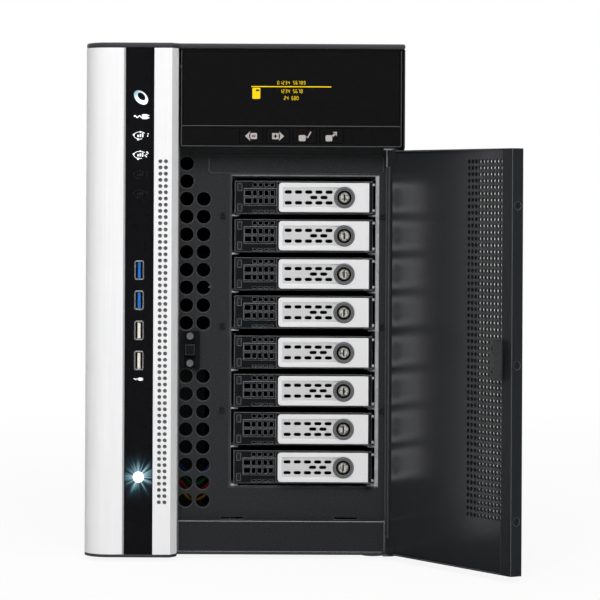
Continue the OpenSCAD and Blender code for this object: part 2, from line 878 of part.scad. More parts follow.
module door_fittings() {
    nose_y = y_plunger - 0.4;
    foot_t = 1.2;
    nose_x = [plunger_x - 3, latch_foot_x[0] + foot_t];
    z = [latch_z - latch_h / 2, latch_z + latch_h / 2];
    color("#2f3033") open_door() {
        difference() {
            union() {
                along_z(z) {
                    box2(latch_foot_x, [y_liner, y_liner + foot_t]);
                    box2([latch_foot_x[0], latch_foot_x[0] + foot_t], [y_liner, nose_y]);
                    box2(nose_x, [nose_y - foot_t, nose_y]);
                }
            }
            for (s = [-1, 1])
                bar_y(latch_foot_screw[0], latch_z + s * latch_foot_screw[1],
                    [y_liner - cut, y_liner + foot_t + cut], shank_hole_r);
        }
        for (s = [-1, 1])
            screw_rear(latch_foot_screw[0], y_liner + foot_t, latch_z + s * latch_foot_screw[1]);
        for (s = door_screw_z)
            translate([door_x0 + screw_t, door_screw_y, s]) rotate([0, 0, -90]) screw_front(0, 0, 0);
        for (z1 = [door_z0, door_z1 - pivot_h]) difference() {
            along_z([z1, z1 + pivot_h]) {
                translate([hinge_pin_x, hinge_pin_y]) circle(pivot_r);
                box2([hinge_pin_x - pivot_w, hinge_pin_x], [hinge_pin_y - pivot_r, hinge_pin_y + pivot_r]);
            }
            translate([hinge_pin_x, hinge_pin_y, z1 - cut])
                cylinder(d = hinge_dia + 2 * run_fit, h = pivot_h + 2 * cut);
        }
    }
}

// A hinge bracket: a tab under or over the door with its pin, and a leg in line with the plate's flange
module hinge_bracket(z, up) {
    tab_r = 3.6;
    tab_x1 = hinge_pin_x + 6.2;
    along_z([z, z + sheet_t]) {
        translate([hinge_pin_x, hinge_pin_y]) circle(tab_r);
        box2([bracket_x0, hinge_pin_x], [hinge_pin_y - tab_r, hinge_pin_y + tab_r]);
        box2([bracket_x0, tab_x1], [hinge_pin_y, y_plate]);
    }
    block([flange_x0, flange_x1], [y_flange, y_plate],
        up ? [z, z + bracket_h] : [z + sheet_t - bracket_h, z + sheet_t]);
    translate([hinge_pin_x, hinge_pin_y, up ? z : z + sheet_t - pivot_h])
        cylinder(d = hinge_dia, h = pivot_h);
}

module hinge_brackets() {
    color("#c8cacc") {
        hinge_bracket(bracket_high, false);
        hinge_bracket(bracket_low, true);
    }
}

module touch_latch() {
    x = [latch_x0, latch_x0 + latch_w];
    z = [latch_z - latch_h / 2, latch_z + latch_h / 2];
    in = [x[0] + latch_ridge, x[1] - latch_ridge];
    color("#2c2d30") {
        difference() {
            along_z(z) difference() {
                box2(x, [y_latch, y_plate]);
                box2(in, [y_latch - cut, y_plate - latch_floor]);
            }
            block(
                [plunger_x - plunger_w / 2 - gap, plunger_x + plunger_w / 2 + gap],
                [y_latch - cut, y_plate + cut],
                [latch_z - plunger_h / 2 - gap, latch_z + plunger_h / 2 + gap]
            );
            for (s = [-1, 1])
                bar_y(plunger_x, latch_z + s * latch_screw, [y_latch, y_plate + cut], shank_hole_r);
        }
    }
}

module latch_plunger() {
    color("#6b6d70")
        along_y([y_plunger, y_plate_back + 6])
            box2(
                [plunger_x - plunger_w / 2, plunger_x + plunger_w / 2],
                [latch_z - plunger_h / 2, latch_z + plunger_h / 2]
            );
}

// The silver-edged caddy of one bay with its grille bezel, drawn at bay height 0
module tray() {
    low = -bay_pitch / 2 + ledge_t + tray_gap_z;
    rail = [bay_x - tray_w / 2, bay_x + tray_w / 2];
    ear_z = [lever_h / 2 + lever_gap, bezel_h / 2];
    ear_w = 3;
    color("#1e1f21") difference() {
        union() {
            along_y([y_bezel_back - cut, y_tray_back]) {
                box2(rail, [low, low + tray_floor_t]);
                for (s = [-1, 1]) translate([bay_x, 0]) {
                    web = [drive_room / 2, drive_room / 2 + rail_t] * s;
                    box2([min(web), max(web)], [low, low + tray_h]);
                    box2([min(s * drive_room / 2, s * tray_w / 2), max(s * drive_room / 2, s * tray_w / 2)],
                        [low + tray_h - tray_floor_t, low + tray_h]);
                }
            }
            along_y([y_bezel, y_bezel_back]) round2([bezel_x0, bezel_x1], [-bezel_h / 2, bezel_h / 2], 1);
            along_y([y_bezel - pad_proud, y_bezel]) for (z = [grille_mid - pad_row, grille_mid + pad_row])
                box2([pad_x0, pad_x1], [z - pad_h / 2, z + pad_h / 2]);
            for (s = [-1, 1])
                block([hinge_x - ear_w, bezel_x1], [y_lever, y_bezel + 1],
                    s > 0 ? ear_z : [-ear_z[1], -ear_z[0]]);
            translate([hinge_x, hinge_y, -bezel_h / 2]) cylinder(d = pin_dia, h = bezel_h);
        }
        // Pocket that takes the lever, open to the right
        block([pad_x1 + 0.4, bezel_x1 + cut], [y_bezel - cut, y_pocket],
            [-lever_h / 2 - lever_gap, lever_h / 2 + lever_gap]);
        for (s = [-1, 1])
            block([lamp_x - lamp_w / 2, lamp_x + lamp_w / 2], [y_bezel - cut, y_bezel + 2],
                [s * lamp_z - lamp_h / 2, s * lamp_z + lamp_h / 2]);
        along_y([y_bezel - cut - pad_proud, y_bezel_back + cut]) grille2();
        // Windows in the floor, and the drive's screw holes
        for (y = tray_windows) block([bay_x - 36, bay_x + 36], y, [low - cut, low + tray_floor_t + cut]);
        for (x = [-drive_hole_x, drive_hole_x], y = drive_hole_y)
            translate([bay_x + x, y, low - cut]) cylinder(r = drive_hole_r, h = tray_floor_t + 2 * cut);
    }
}

module grille2() {
    row_z = [grille_mid - grille_row, grille_mid + grille_row];
    rows = [for (z = row_z) [z - grille_h / 2, z + grille_h / 2]];
    for (row = rows) box2([grille_x0, grille_x0 + grille_first_w], row);
    for (i = [0:grille_cols - 1], row = [each rows, grille_top, grille_low]) {
        x = grille_x0 + grille_first_w + grille_bar + i * grille_step;
        box2([x, x + grille_w], row);
    }
}

module lever() {
    z = [-lever_h / 2, lever_h / 2];
    panel_x1 = lock_x;
    color("#d5d6d8") difference() {
        union() {
            along_y([y_lever, y_lever_back]) {
                round2([lever_x0, lever_x0 + 8], z, corner_r);
                box2([lever_x0 + corner_r, hinge_x], z);
            }
            translate([hinge_x, hinge_y, z[0]]) cylinder(r = lever_r, h = lever_h);
            for (s = [-1, 1])
                block([hinge_x, hinge_x + lever_r + 2], [hinge_y - 0.6, hinge_y + 0.9],
                    [s * finger_z - finger_h / 2, s * finger_z + finger_h / 2]);
        }
        translate([hinge_x, hinge_y, z[0] - cut])
            cylinder(d = pin_dia + 2 * run_fit, h = lever_h + 2 * cut);
        along_y([y_lever - cut, y_lever + panel_deep])
            box2([lever_x0 + panel_in, panel_x1], [z[0] + panel_in + 0.6, z[1] - panel_in - 0.6]);
        along_y([y_lever - cut, y_lever_back + cut]) {
            for (i = [0:slot_cols - 1], s = [-1, 1])
                slot2(lever_x0 + slot_first + i * slot_step, s * slot_row, slot_l, slot_h);
            for (i = [slot_cols - 2.5, slot_cols - 1.5])
                slot2(lever_x0 + slot_first + i * slot_step, 0, slot_l, slot_h);
        }
        bar_y(lock_x, 0, [y_lever - cut, y_lever_back + cut], barrel_r + run_fit);
        bar_y(lock_x, 0, [y_lever - cut, y_lever + collar_sunk], lock_r + 0.2);
    }
}

// Key lock: a stepped collar and barrel turned about Y, with a keyway and a cam behind the lever
module lock() {
    face = collar_t - 0.1;
    back = lever_t - collar_sunk + 2;
    keyway_deep = 2.2;
    color("#8d9093") translate([lock_x, y_lever + collar_sunk - 0.1, 0]) difference() {
        union() {
            rotate([90, 0, 0]) rotate_extrude() polygon([
                [0, -back], [barrel_r, -back], [barrel_r, 0], [lock_r, 0], [lock_r, face - 0.5],
                [lock_r - 0.5, face], [lock_r - 1.5, face], [lock_r - 1.9, face - 0.4],
                [lock_r - 2.5, face - 0.4], [lock_r - 2.5, face - 0.9], [lock_r - 3.9, face - 0.9],
                [lock_r - 4.1, face - 0.3], [0, face - 0.3]
            ]);
            block([-cam_l, 2], [back - cam_t, back], [-2.4, 2.4]);
        }
        block([-0.6, 0.6], [-face, keyway_deep - face], [-2.6, 2.6]);
    }
}

module backplane() {
    x = [cage_x0, cage_x1 + sheet_t];
    conn = [44, 8];
    conn_y = 7;
    color("#1f6b45") {
        along_y([y_cage_back, y_cage_back + board_t]) difference() {
            box2(x, [z_bay_0 - sheet_t, z_bay_1 + sheet_t]);
            for (i = [1:bay_count]) slot2(bay_x + 26, bay_z(i), 40, 10);
        }
        for (i = [1:bay_count])
            block([bay_x - 46, bay_x - 46 + conn[0]], [y_cage_back - conn_y, y_cage_back],
                [bay_z(i) - conn[1] / 2, bay_z(i) + conn[1] / 2]);
    }
}

module motherboard() {
    sink = [48, 60, 26];
    sink_y = y_mb + 50;
    sink_z = mb_z0 + 80;
    fin_t = 2;
    fins = 8;
    memory_w = 30;
    memory_l = 130;
    memory_t = 4;
    color("#1d5c3a") {
        block([board_x0, board_x1], [y_mb, y_mb + board_side], [mb_z0, mb_z1]);
        for (y = [y_mb + 8, y_mb + board_side - 14], z = [mb_z0 + 8, mb_z1 - 12])
            translate([board_x1, y, z]) rotate([0, 90, 0]) cylinder(r = 2.5, h = standoff);
        along_z([sink_z, sink_z + sink[1]]) {
            box2([board_x0 - 6, board_x0], [sink_y, sink_y + sink[0]]);
            for (i = [0:fins - 1]) translate([0, sink_y + i * (sink[0] - fin_t) / (fins - 1)])
                box2([board_x0 - sink[2], board_x0 - 5], [0, fin_t]);
        }
        for (z = [mb_z0 + 44, mb_z0 + 54])
            block([board_x0 - memory_w, board_x0], [y_mb + 10, y_mb + 10 + memory_l], [z, z + memory_t]);
    }
}

// Sockets at the rear: two network, two pairs of USB and a serial one in their shield, and the mains inlet
module rear_sockets() {
    y = [y_rear - port_deep, y_back + port_out];
    y_deep = y_back - 11;
    y_out = y_back + port_out + cut;
    stack_x = [2, 9];
    color("#a9acaf") {
        difference() {
            union() {
                along_y([y_rear, y_back]) box2(shield_x, shield_z);
                along_y(y) {
                    for (z = lan_z) port2(z, lan_w, lan_h);
                    for (z = usb_stack_z) port2(z, stack_w, stack_h);
                    port2(serial_z, serial_w, serial_h);
                }
            }
            for (z = lan_z)
                block([board_x0 - lan_h + lan_wall, board_x0 - lan_wall], [y_deep, y_out],
                    [z - lan_room / 2, z + lan_room / 2]);
            for (z = usb_stack_z, x = stack_x)
                block([board_x0 - x - usb_w, board_x0 - x], [y_deep, y_out], [z - usb_h / 2, z + usb_h / 2]);
        }
        for (z = usb_stack_z, x = stack_x) translate([board_x0 - x - usb_w / 2, 0, z])
            block([-usb_tongue_t / 2, usb_tongue_t / 2], [y_deep, y_back - 1],
                [usb_slack - usb_h / 2, usb_h / 2 - usb_slack]);
        along_y([y_back + port_out, y_back + port_out + 4])
            round2([board_x0 - serial_h + 2.2, board_x0 - 2.2], [serial_z - 8.5, serial_z + 8.5], 2);
        inlet();
    }
}

module power_supply() {
    x = [psu_x0, psu_x1];
    y = [y_psu, y_rear];
    z = [z_floor, psu_z1];
    wall = [psu_wall, -psu_wall];
    vent_x = psu_x0 + 17;
    vent_z = switch_z + 24;
    color("#8b8e91") {
        difference() {
            block(x, y, z);
            block(x + wall, y + wall, z + wall);
            along_y([y_rear - psu_wall - cut, y_rear + cut]) {
                grid2(vent_x, vent_z, 7, 7, 8, 8, 5.4);
                box2([inlet_x - inlet_w / 2 - 0.2, inlet_x + inlet_w / 2 + 0.2],
                    [inlet_z - inlet_h / 2 - 0.2, inlet_z + inlet_h / 2 + 0.2]);
                box2([switch_x - switch_w / 2 - 0.4, switch_x + switch_w / 2 + 0.4],
                    [switch_z - switch_half, switch_z + switch_half]);
            }
            for (s = rear_screws) bar_y(s[0], s[1], [y_rear - shank_l, y_rear + cut], shank_hole_r);
        }
        // Bearing cheeks of the rocker
        for (s = [-1, 1]) translate([switch_x + s * (switch_w / 2 + 1.4), y_rear - psu_wall, switch_z])
            block([-1, 1], [-10, 0], [-9, 9]);
    }
}

// Appliance inlet: a cup with three blades
module inlet() {
    cup_deep = 16;
    wall = 2;
    rim = 2;
    half_w = inlet_w / 2;
    half_h = inlet_h / 2;
    translate([inlet_x, 0, inlet_z]) difference() {
        union() {
            block([-half_w, half_w], [y_rear - cup_deep, y_rear], [-half_h, half_h]);
            block([-half_w - rim, half_w + rim], [y_rear, y_rear + 1.2], [-half_h - rim, half_h + rim]);
        }
        block([wall - half_w, half_w - wall], [y_rear - cup_deep + wall, y_rear + 2],
            [wall - half_h, half_h - wall]);
    }
    for (p = [[-7, -2], [0, 3], [7, -2]])
        block([inlet_x + p[0] - 1, inlet_x + p[0] + 1], [y_rear - cup_deep + wall, y_rear - 3],
            [inlet_z + p[1] - 2, inlet_z + p[1] + 2]);
}

module psu_switch() {
    color("#151515") translate([switch_x, y_rocker, switch_z]) {
        along_x([-switch_w / 2, switch_w / 2]) rotate(rocker_tilt) intersection() {
            circle(rocker_r);
            polygon([[-7, -9], [-7, 9], [1.6, 9], [0, 0], [1.6, -9]]);
        }
    }
}

module fan_frame(i) {
    z = fan_z(i);
    color("#1a1a1b") translate([fan_x, 0, z]) {
        difference() {
            union() {
                along_y([y_fan, y_rear]) difference() {
                    round2([-fan_side / 2, fan_side / 2], [-fan_side / 2, fan_side / 2], 4);
                    circle(fan_bore);
                    for (sx = [-1, 1], sz = [-1, 1])
                        translate([sx, sz] * (fan_side / 2 - 4.75)) circle(2.1);
                }
                along_y([y_rear - 4, y_rear]) {
                    circle(fan_hub);
                    for (a = [0, 90]) rotate(a) square([2 * fan_bore + 2, 5], center = true);
                }
                bar_y(0, 0, [y_rear - 12, y_rear], 4);
            }
            bar_y(0, 0, [y_rear - 12 - cut, y_rear - 2], shaft_r + run_fit);
        }
    }
}

module fan_frames() {
    for (i = [1, 2]) fan_frame(i);
}

module fan_rotor(i) {
    y = [y_fan + 1.5, y_rear - 5];
    blade_r = fan_bore - 1.2;
    color("#232325") translate([fan_x, 0, fan_z(i)]) {
        difference() {
            bar_y(0, 0, y, fan_hub);
            bar_y(0, 0, [y[0] + 2.5, y[1] + cut], fan_hub - 2);
        }
        bar_y(0, 0, [y[0] + 2, y_rear - 3], shaft_r);
        intersection() {
            for (a = [0:fan_blades - 1]) rotate([0, a * 360 / fan_blades, 0])
                translate([fan_hub - 1, (y[0] + y[1]) / 2, 0]) rotate([38, 0, 0])
                    translate([0, -0.8, -11.5]) cube([blade_r, 1.6, 23]);
            difference() {
                bar_y(0, 0, y, blade_r);
                bar_y(0, 0, [y[0] - cut, y[1] + cut], fan_hub - 1);
            }
        }
    }
}

// A round lead swept along its points
function unit(v) = v / norm(v);
function heading(p, i) = unit(p[min(i + 1, len(p) - 1)] - p[max(i - 1, 0)]);
function ring(p, i, r, n) =
    let (t = heading(p, i), side = unit(cross(t, [0.31, 0.2, 0.93])), up = cross(side, t))
    [for (k = [0:n - 1]) p[i] + r * (cos(360 * k / n) * side + sin(360 * k / n) * up)];

module lead(p, r, n = 8) {
    m = len(p);
    points = [for (i = [0:m - 1]) each ring(p, i, r, n)];
    sides = [for (i = [0:m - 2], k = [0:n - 1])
        each [[i * n + k, i * n + (k + 1) % n, (i + 1) * n + k],
            [i * n + (k + 1) % n, (i + 1) * n + (k + 1) % n, (i + 1) * n + k]]];
    caps = [for (k = [1:n - 2]) each [[0, k + 1, k], [(m - 1) * n, (m - 1) * n + k, (m - 1) * n + k + 1]]];
    polyhedron(points, concat(sides, caps));
}

module wiring_harness() {
    color("#c9a227") for (i = [0:lead_count - 1]) lead([
        lead_start + [0, 0, 6 * i], lead_start + [0, 5, 6 * i], lead_start + [2, 14, 6 * i],
        lead_start + [8, 25, 6 * i], lead_start + [18, 33, 6 * i + 2],
        lead_run + [-30, 16 + 3 * i, 76 + 8 * i],
        lead_run + [-22, 24 + 3 * i, 88 + 9 * i], lead_run + [-21, 36 + 3 * i, 104 + 10 * i],
        lead_run + [-24, 52 + 3 * i, 124 + 10 * i],
        lead_run + [-26, 72 + 3 * i, 142 + 9 * i], lead_run + [-26, 92 + 4 * i, 158 + 8 * i],
        lead_run + [-22, 112 + 4 * i, 168 + 6 * i],
        lead_end + [-8, 0, 6 * i], lead_end + [-4, 5, 6 * i], lead_end + [0, 5, 6 * i]
    ], lead_r);
}

chassis_base();
feet();
front_plate();
lower_cover();
drive_cage();
left_side_panel();
right_side_panel();
rear_panel();
top_cover();
case_screws();
front_column();
control_strip();
front_boards();
usb_shells();
power_button();
display_bezel();
display_window();
for (i = [1:key_count]) menu_key(i);
door_skin();
door_liner();
door_fittings();
hinge_brackets();
touch_latch();
latch_plunger();
backplane();
motherboard();
rear_sockets();
power_supply();
psu_switch();
fan_frames();
for (i = [1, 2]) fan_rotor(i);
wiring_harness();
for (i = [1:bay_count]) translate([0, 0, bay_z(i)]) tray();
for (i = [1:bay_count]) translate([0, 0, bay_z(i)]) lever();
for (i = [1:bay_count]) translate([0, 0, bay_z(i)]) lock();
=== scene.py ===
"""Looks of an eight-bay network storage tower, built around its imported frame."""

import math

import bmesh
import bpy
from bpy.props import FloatProperty, FloatVectorProperty, PointerProperty
from bpy.types import Operator, Panel, PropertyGroup
from mathutils import Matrix, Vector


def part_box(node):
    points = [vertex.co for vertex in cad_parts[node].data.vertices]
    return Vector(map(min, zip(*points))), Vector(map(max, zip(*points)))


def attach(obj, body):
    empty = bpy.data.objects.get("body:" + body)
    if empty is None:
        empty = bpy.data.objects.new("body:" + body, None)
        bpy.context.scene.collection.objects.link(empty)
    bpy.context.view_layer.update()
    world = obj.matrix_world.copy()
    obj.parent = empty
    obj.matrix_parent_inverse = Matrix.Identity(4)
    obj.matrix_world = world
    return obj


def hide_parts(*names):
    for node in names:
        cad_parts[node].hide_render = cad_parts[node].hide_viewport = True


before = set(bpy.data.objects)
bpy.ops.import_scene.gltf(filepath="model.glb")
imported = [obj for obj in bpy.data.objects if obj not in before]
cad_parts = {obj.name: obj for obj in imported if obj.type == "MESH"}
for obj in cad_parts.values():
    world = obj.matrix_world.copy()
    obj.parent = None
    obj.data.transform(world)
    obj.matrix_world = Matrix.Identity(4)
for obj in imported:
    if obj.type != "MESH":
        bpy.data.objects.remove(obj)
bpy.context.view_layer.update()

bl_info = {
    "name": "Network storage tower",
    "version": (1, 0, 0),
    "blender": (4, 5, 0),
    "location": "View3D > Sidebar > Tower",
    "description": "Finishes, small fittings and studio of an eight-bay storage tower",
    "category": "Object",
}

MM = 0.001
WHITE = (1, 1, 1, 1)
BAYS = range(1, 9)
KEYS = range(1, 5)
# The photograph's view: picture side and lens shift in pixels, the camera's x in metres and its roll.
IMAGE_SIDE = 600
SHIFT = (3.73, -100.9)
CAMERA_X = 0.03864
CAMERA_ROLL = math.radians(-0.27)
# Edges that turn by less than this many degrees are not rounded.
EDGE_ANGLE = 32
# The painted edge highlight starts and is full at these cosines of the turn of its rounded normal.
EDGE_STARTS = 0.985
EDGE_FULL = 0.86
# A noise lies mostly between these values.
NOISE_LOW = 0.3
NOISE_HIGH = 0.7
# Places in millimetres, read from the photograph's view of the frame: the strip's pictograms,
# the readout and the rule above the keys.
STRIP_MARK_X = -78.4
DISC_Z = 348.6
PLUG_Z = 334.2
NET_Z = (320.3, 305.7, 291.0, 276.6)
SOCKET_MARK_Z = 137.0
READOUT_X = 34.5
READOUT_ROWS = (
    ("01234 56789", 360.6, (1.13, 2.5)), ("1234 5678", 354.2, (1.11, 2.7)), ("24 680", 349.0, (1.09, 2.7)),
)
READOUT_STROKE = 0.4
READOUT_RULE_Z = 357.6
KEY_ROW_Z = 327.9
# Sizes of the frame that no box gives: the head and foot of the bays, the cage's sheet and flange,
# the column's wall, a socket shell's length and how far a tongue lies in it.
BAY_HEAD_Z = 288.6
BAY_FOOT_Z = 54.1
CAGE_SHEET = 1.2
CAGE_FLANGE = 3.2
COLUMN_WALL = 2.5
SHELL_H = 14.3
TONGUE_IN = 0.95
# The first lead's route in millimetres, as x, y and z, and how far each further lead lies from it in y and z.
LEAD_ROUTE = (
    (-69.1, -147.5, 60, 0, 6), (-69.1, -142.5, 60, 0, 6), (-67.1, -133.5, 60, 0, 6),
    (-61.1, -122.5, 58, 0, 6), (-51.1, -114.5, 52, 0, 6), (-41.5, -110, 42, 3, 6), (-32.5, -103, 43, 3, 6),
    (-23.5, -92, 54, 3, 7), (-19.5, -78, 84, 3, 8), (-19.5, -58, 120, 3, 9), (-21.5, -38, 150, 3, 8),
    (-26, -18, 170, 2, 6), (-28.1, 3.8, 179.7, 0, 6), (-25.7, 11.4, 182.6, 0, 6), (-18.1, 15.3, 183.2, 0, 6),
)
LEAD_R = 1.1
# Outlines of a lamp lens from its foot to its crown: size and corner radius.
LENS_RINGS = (((2.8, 5.3), 0.4), ((2.8, 5.3), 0.4), ((2.3, 4.8), 0.5), ((1.0, 3.2), 0.4))
# How deep a mark or a lip sits in the face that carries it.
PRINT_SUNK = 0.02
# Rings of a lock: a share of its radius and the colour there; the core ends at LOCK_CORE. The light and dark
# bands of the collar, from 0.71 out, are painted highlight and painted shade on its rims.
LOCK_RINGS = (
    (0.0, "#ECECEA"), (0.36, "#E4E3DE"), (0.42, "#BDB7A2"), (0.5, "#8E8874"), (0.52, "#0A0A0B"),
    (0.68, "#0E0E0F"), (0.71, "#9A9C9E"), (0.78, "#5E6062"), (0.93, "#8A8C8E"), (1.0, "#4A4C4E"),
)
LOCK_CORE = 0.5


def linear(hex_colour):
    """An sRGB hex colour as linear red, green and blue."""
    parts = [int(hex_colour[i:i + 2], 16) / 255 for i in (1, 3, 5)]
    return tuple(c / 12.92 if c <= 0.04045 else ((c + 0.055) / 1.055) ** 2.4 for c in parts)


def colour(name, description, hex_colour):
    """A colour that a user can change."""
    return FloatVectorProperty(
        name=name, description=description, subtype="COLOR", size=3, min=0, max=1, default=linear(hex_colour)
    )


def length(name, description, millimetres):
    """A length that a user can change."""
    return FloatProperty(
        name=name, description=description, subtype="DISTANCE", unit="LENGTH", min=0,
        default=millimetres * MM, precision=5
    )


class TowerColours(PropertyGroup):
    """Colours of the tower's finishes."""

    column: colour("Column", "Anodised aluminium of the front column", "#EEEEEF")
    steel: colour("Case steel", "Powder coat of the case sheets", "#2B2C2E")
    # Painted light: the case steel's coat drawn lighter for the top cover, for the light that falls on it
    # from above.
    cover: colour("Top cover", "Powder coat of the top cover", "#3E3F42")
    plate: colour("Front plate", "Fine textured coat behind the door", "#2E2F31")
    door: colour("Door", "Satin coat of the door", "#262729")
    strip: colour("Control strip", "Gloss strip in the column", "#131315")
    glass: colour("Display", "Tinted display panel", "#141415")
    tray: colour("Trays", "Moulded tray bezels", "#17181A")
    # Painted highlight: the colour drawn along the edges of the dark coats.
    painted_edge_light: colour("Painted edge highlights", "Painted highlight along the edges of the dark coats", "#747577")
    lever: colour("Levers", "Silver paint of the levers", "#F2F2F3")
    zinc: colour("Cage", "Zinc coat of the drive cage", "#C4C6C8")
    # The trim's grey is partly a real bead and partly a painted highlight along the display's edges.
    trim: colour("Display trim", "Grey bead round the display", "#4C4D4F")
    readout: colour("Readout", "Lit rows of the display", "#C8AA0A")
    lamp: colour("Power lamp", "Light of the power button", "#E9F4FF")
    ink: colour("Lit marks", "Lit pictograms of the control strip", "#F4F7FA")
    key_ink: colour("Key marks", "Printed pictograms of the menu keys", "#B3ABA9")
    tongue_fast: colour("Fast sockets", "Tongues of the upper two sockets", "#1F6FC4")
    tongue_plain: colour("Plain sockets", "Tongues of the lower two sockets", "#E6E2D6")
    lead_1: colour("First lead", "Insulation of the first lead", "#5A4A0E")
    lead_2: colour("Second lead", "Insulation of the second lead", "#6A1019")
    lead_3: colour("Third lead", "Insulation of the third lead", "#0E3D1B")
    lead_4: colour("Fourth lead", "Insulation of the fourth lead", "#132B62")


class TowerSizes(PropertyGroup):
    """Sizes of the details that the frame leaves to the looks."""

    sheet_edge: length("Sheet edge", "Rounding of cut sheet edges", 0.35)
    moulded_edge: length("Moulded edge", "Rounding of moulded edges", 0.3)
    lever_edge: length("Lever edge", "Rounding of the levers' edges", 0.45)
    cover_edge: length("Cover edge", "Rounding of the top cover's edges", 1.6)
    print_t: length("Print", "Thickness of a printed mark", 0.08)
    glow_r: length("Glow", "Reach of the power lamp's light on the strip", 24)
    camera_back: length("Camera distance", "From the origin to the camera", 2432.5)
    camera_h: length("Camera height", "Height of the camera", 272.8)
    lens: FloatProperty(name="Lens", description="Focal length in millimetres", default=181.5, min=1)


def add(tree, kind, sockets=None, out=0, stops=None, hard=False, **settings):
    """Add one shader node and return one of its outputs, or the node itself where out is None.

    Settings are the node's own properties; stops, soft or hard, are those of a colour ramp.
    """
    made = tree.nodes.new(f"ShaderNode{kind}")
    for key, value in settings.items():
        setattr(made, key, value)
    feed(made, sockets or {})
    for i, (place, tone) in enumerate(stops or ()):
        if i >= len(made.color_ramp.elements):
            made.color_ramp.elements.new(place)
        made.color_ramp.elements[i].position = place
        made.color_ramp.elements[i].color = (*tone[:3], 1)
    if hard:
        made.color_ramp.interpolation = "CONSTANT"
    return made if out is None else made.outputs[out]


def feed(node, sockets):
    """Give a node's inputs their values, or the outputs that they are linked to."""
    for key, value in sockets.items():
        if isinstance(value, bpy.types.NodeSocket):
            node.id_data.links.new(value, node.inputs[key])
        else:
            node.inputs[key].default_value = value


def blank(kind, name):
    """A new material or world with an empty tree."""
    made = kind.new(name)
    made.use_nodes = True
    made.node_tree.nodes.clear()
    return made, made.node_tree


def surface(name, **sockets):
    """A new material with its tree and its shader; underscores in socket names stand for spaces."""
    made, tree = blank(bpy.data.materials, name)
    values = {key.replace("_", " "): value for key, value in sockets.items()}
    shader = add(tree, "BsdfPrincipled", values, None)
    add(tree, "OutputMaterial", {"Surface": shader.outputs["BSDF"]}, None)
    return made, tree, shader


def shade(rgb, factor):
    """The same colour, lighter or darker."""
    return tuple(min(1.0, c * factor) for c in rgb)


def rgba(rgb):
    """A colour with full opacity, as a shader socket takes it."""
    return (*rgb[:3], 1.0)


def grained(name, rgb, grain_mm, relief_mm, rough, contrast=0.18, stretch=(1, 1, 1), edge_mm=0.0, worn=None,
            shine=0.5, **sockets):
    """A coated or moulded skin: one grain sets the shade, the gloss and the relief.

    grain_mm is the size of a grain, relief_mm its height, rough the least and greatest roughness,
    edge_mm the rounding that sharp edges seem to have, worn the colour of a painted highlight along them and
    shine the strength of what the skin mirrors.
    """
    made, tree, shader = surface(name, Specular_IOR_Level=shine, **sockets)
    place = add(tree, "TexCoord", out="Object")
    spread = add(tree, "Mapping", {"Vector": place, "Scale": stretch})
    grain = add(
        tree, "TexNoise", {"Vector": spread, "Scale": 1 / (grain_mm * MM), "Detail": 3.0, "Roughness": 0.6}
    )
    tone = add(
        tree, "ValToRGB", {"Fac": grain},
        stops=[(NOISE_LOW, shade(rgb, 1 - contrast)), (NOISE_HIGH, shade(rgb, 1 + contrast))]
    )
    gloss = add(
        tree, "MapRange",
        {
            "Value": grain, "From Min": NOISE_LOW, "From Max": NOISE_HIGH,
            "To Min": rough[0], "To Max": rough[1]
        }
    )
    relief = {"Height": grain, "Strength": 1.0, "Distance": relief_mm * MM}
    if edge_mm:
        relief["Normal"], share = edges(tree, edge_mm)
    # Painted highlight: the given colour is mixed in along the edges.
    if worn:
        tone = add(tree, "Mix", {0: share, 6: tone, 7: rgba(worn)}, 2, data_type="RGBA")
    feed(shader, {"Base Color": tone, "Roughness": gloss, "Normal": add(tree, "Bump", relief)})
    return made, tree, shader


def edges(tree, edge_mm):
    """The normal of edges rounded to the eye, and a factor that is 1 along them and 0 on flat faces."""
    turned = add(tree, "Bevel", {"Radius": edge_mm * MM}, samples=6)
    flat = add(tree, "NewGeometry", out="Normal")
    along = add(tree, "VectorMath", {0: turned, 1: flat}, "Value", operation="DOT_PRODUCT")
    return turned, add(tree, "MapRange", {"Value": along, "From Min": EDGE_STARTS, "From Max": EDGE_FULL})


FINISHES = {}


def coat(key, *values, **more):
    """Keep a grained finish under a short name."""
    FINISHES[key] = grained(*values, **more)[0]


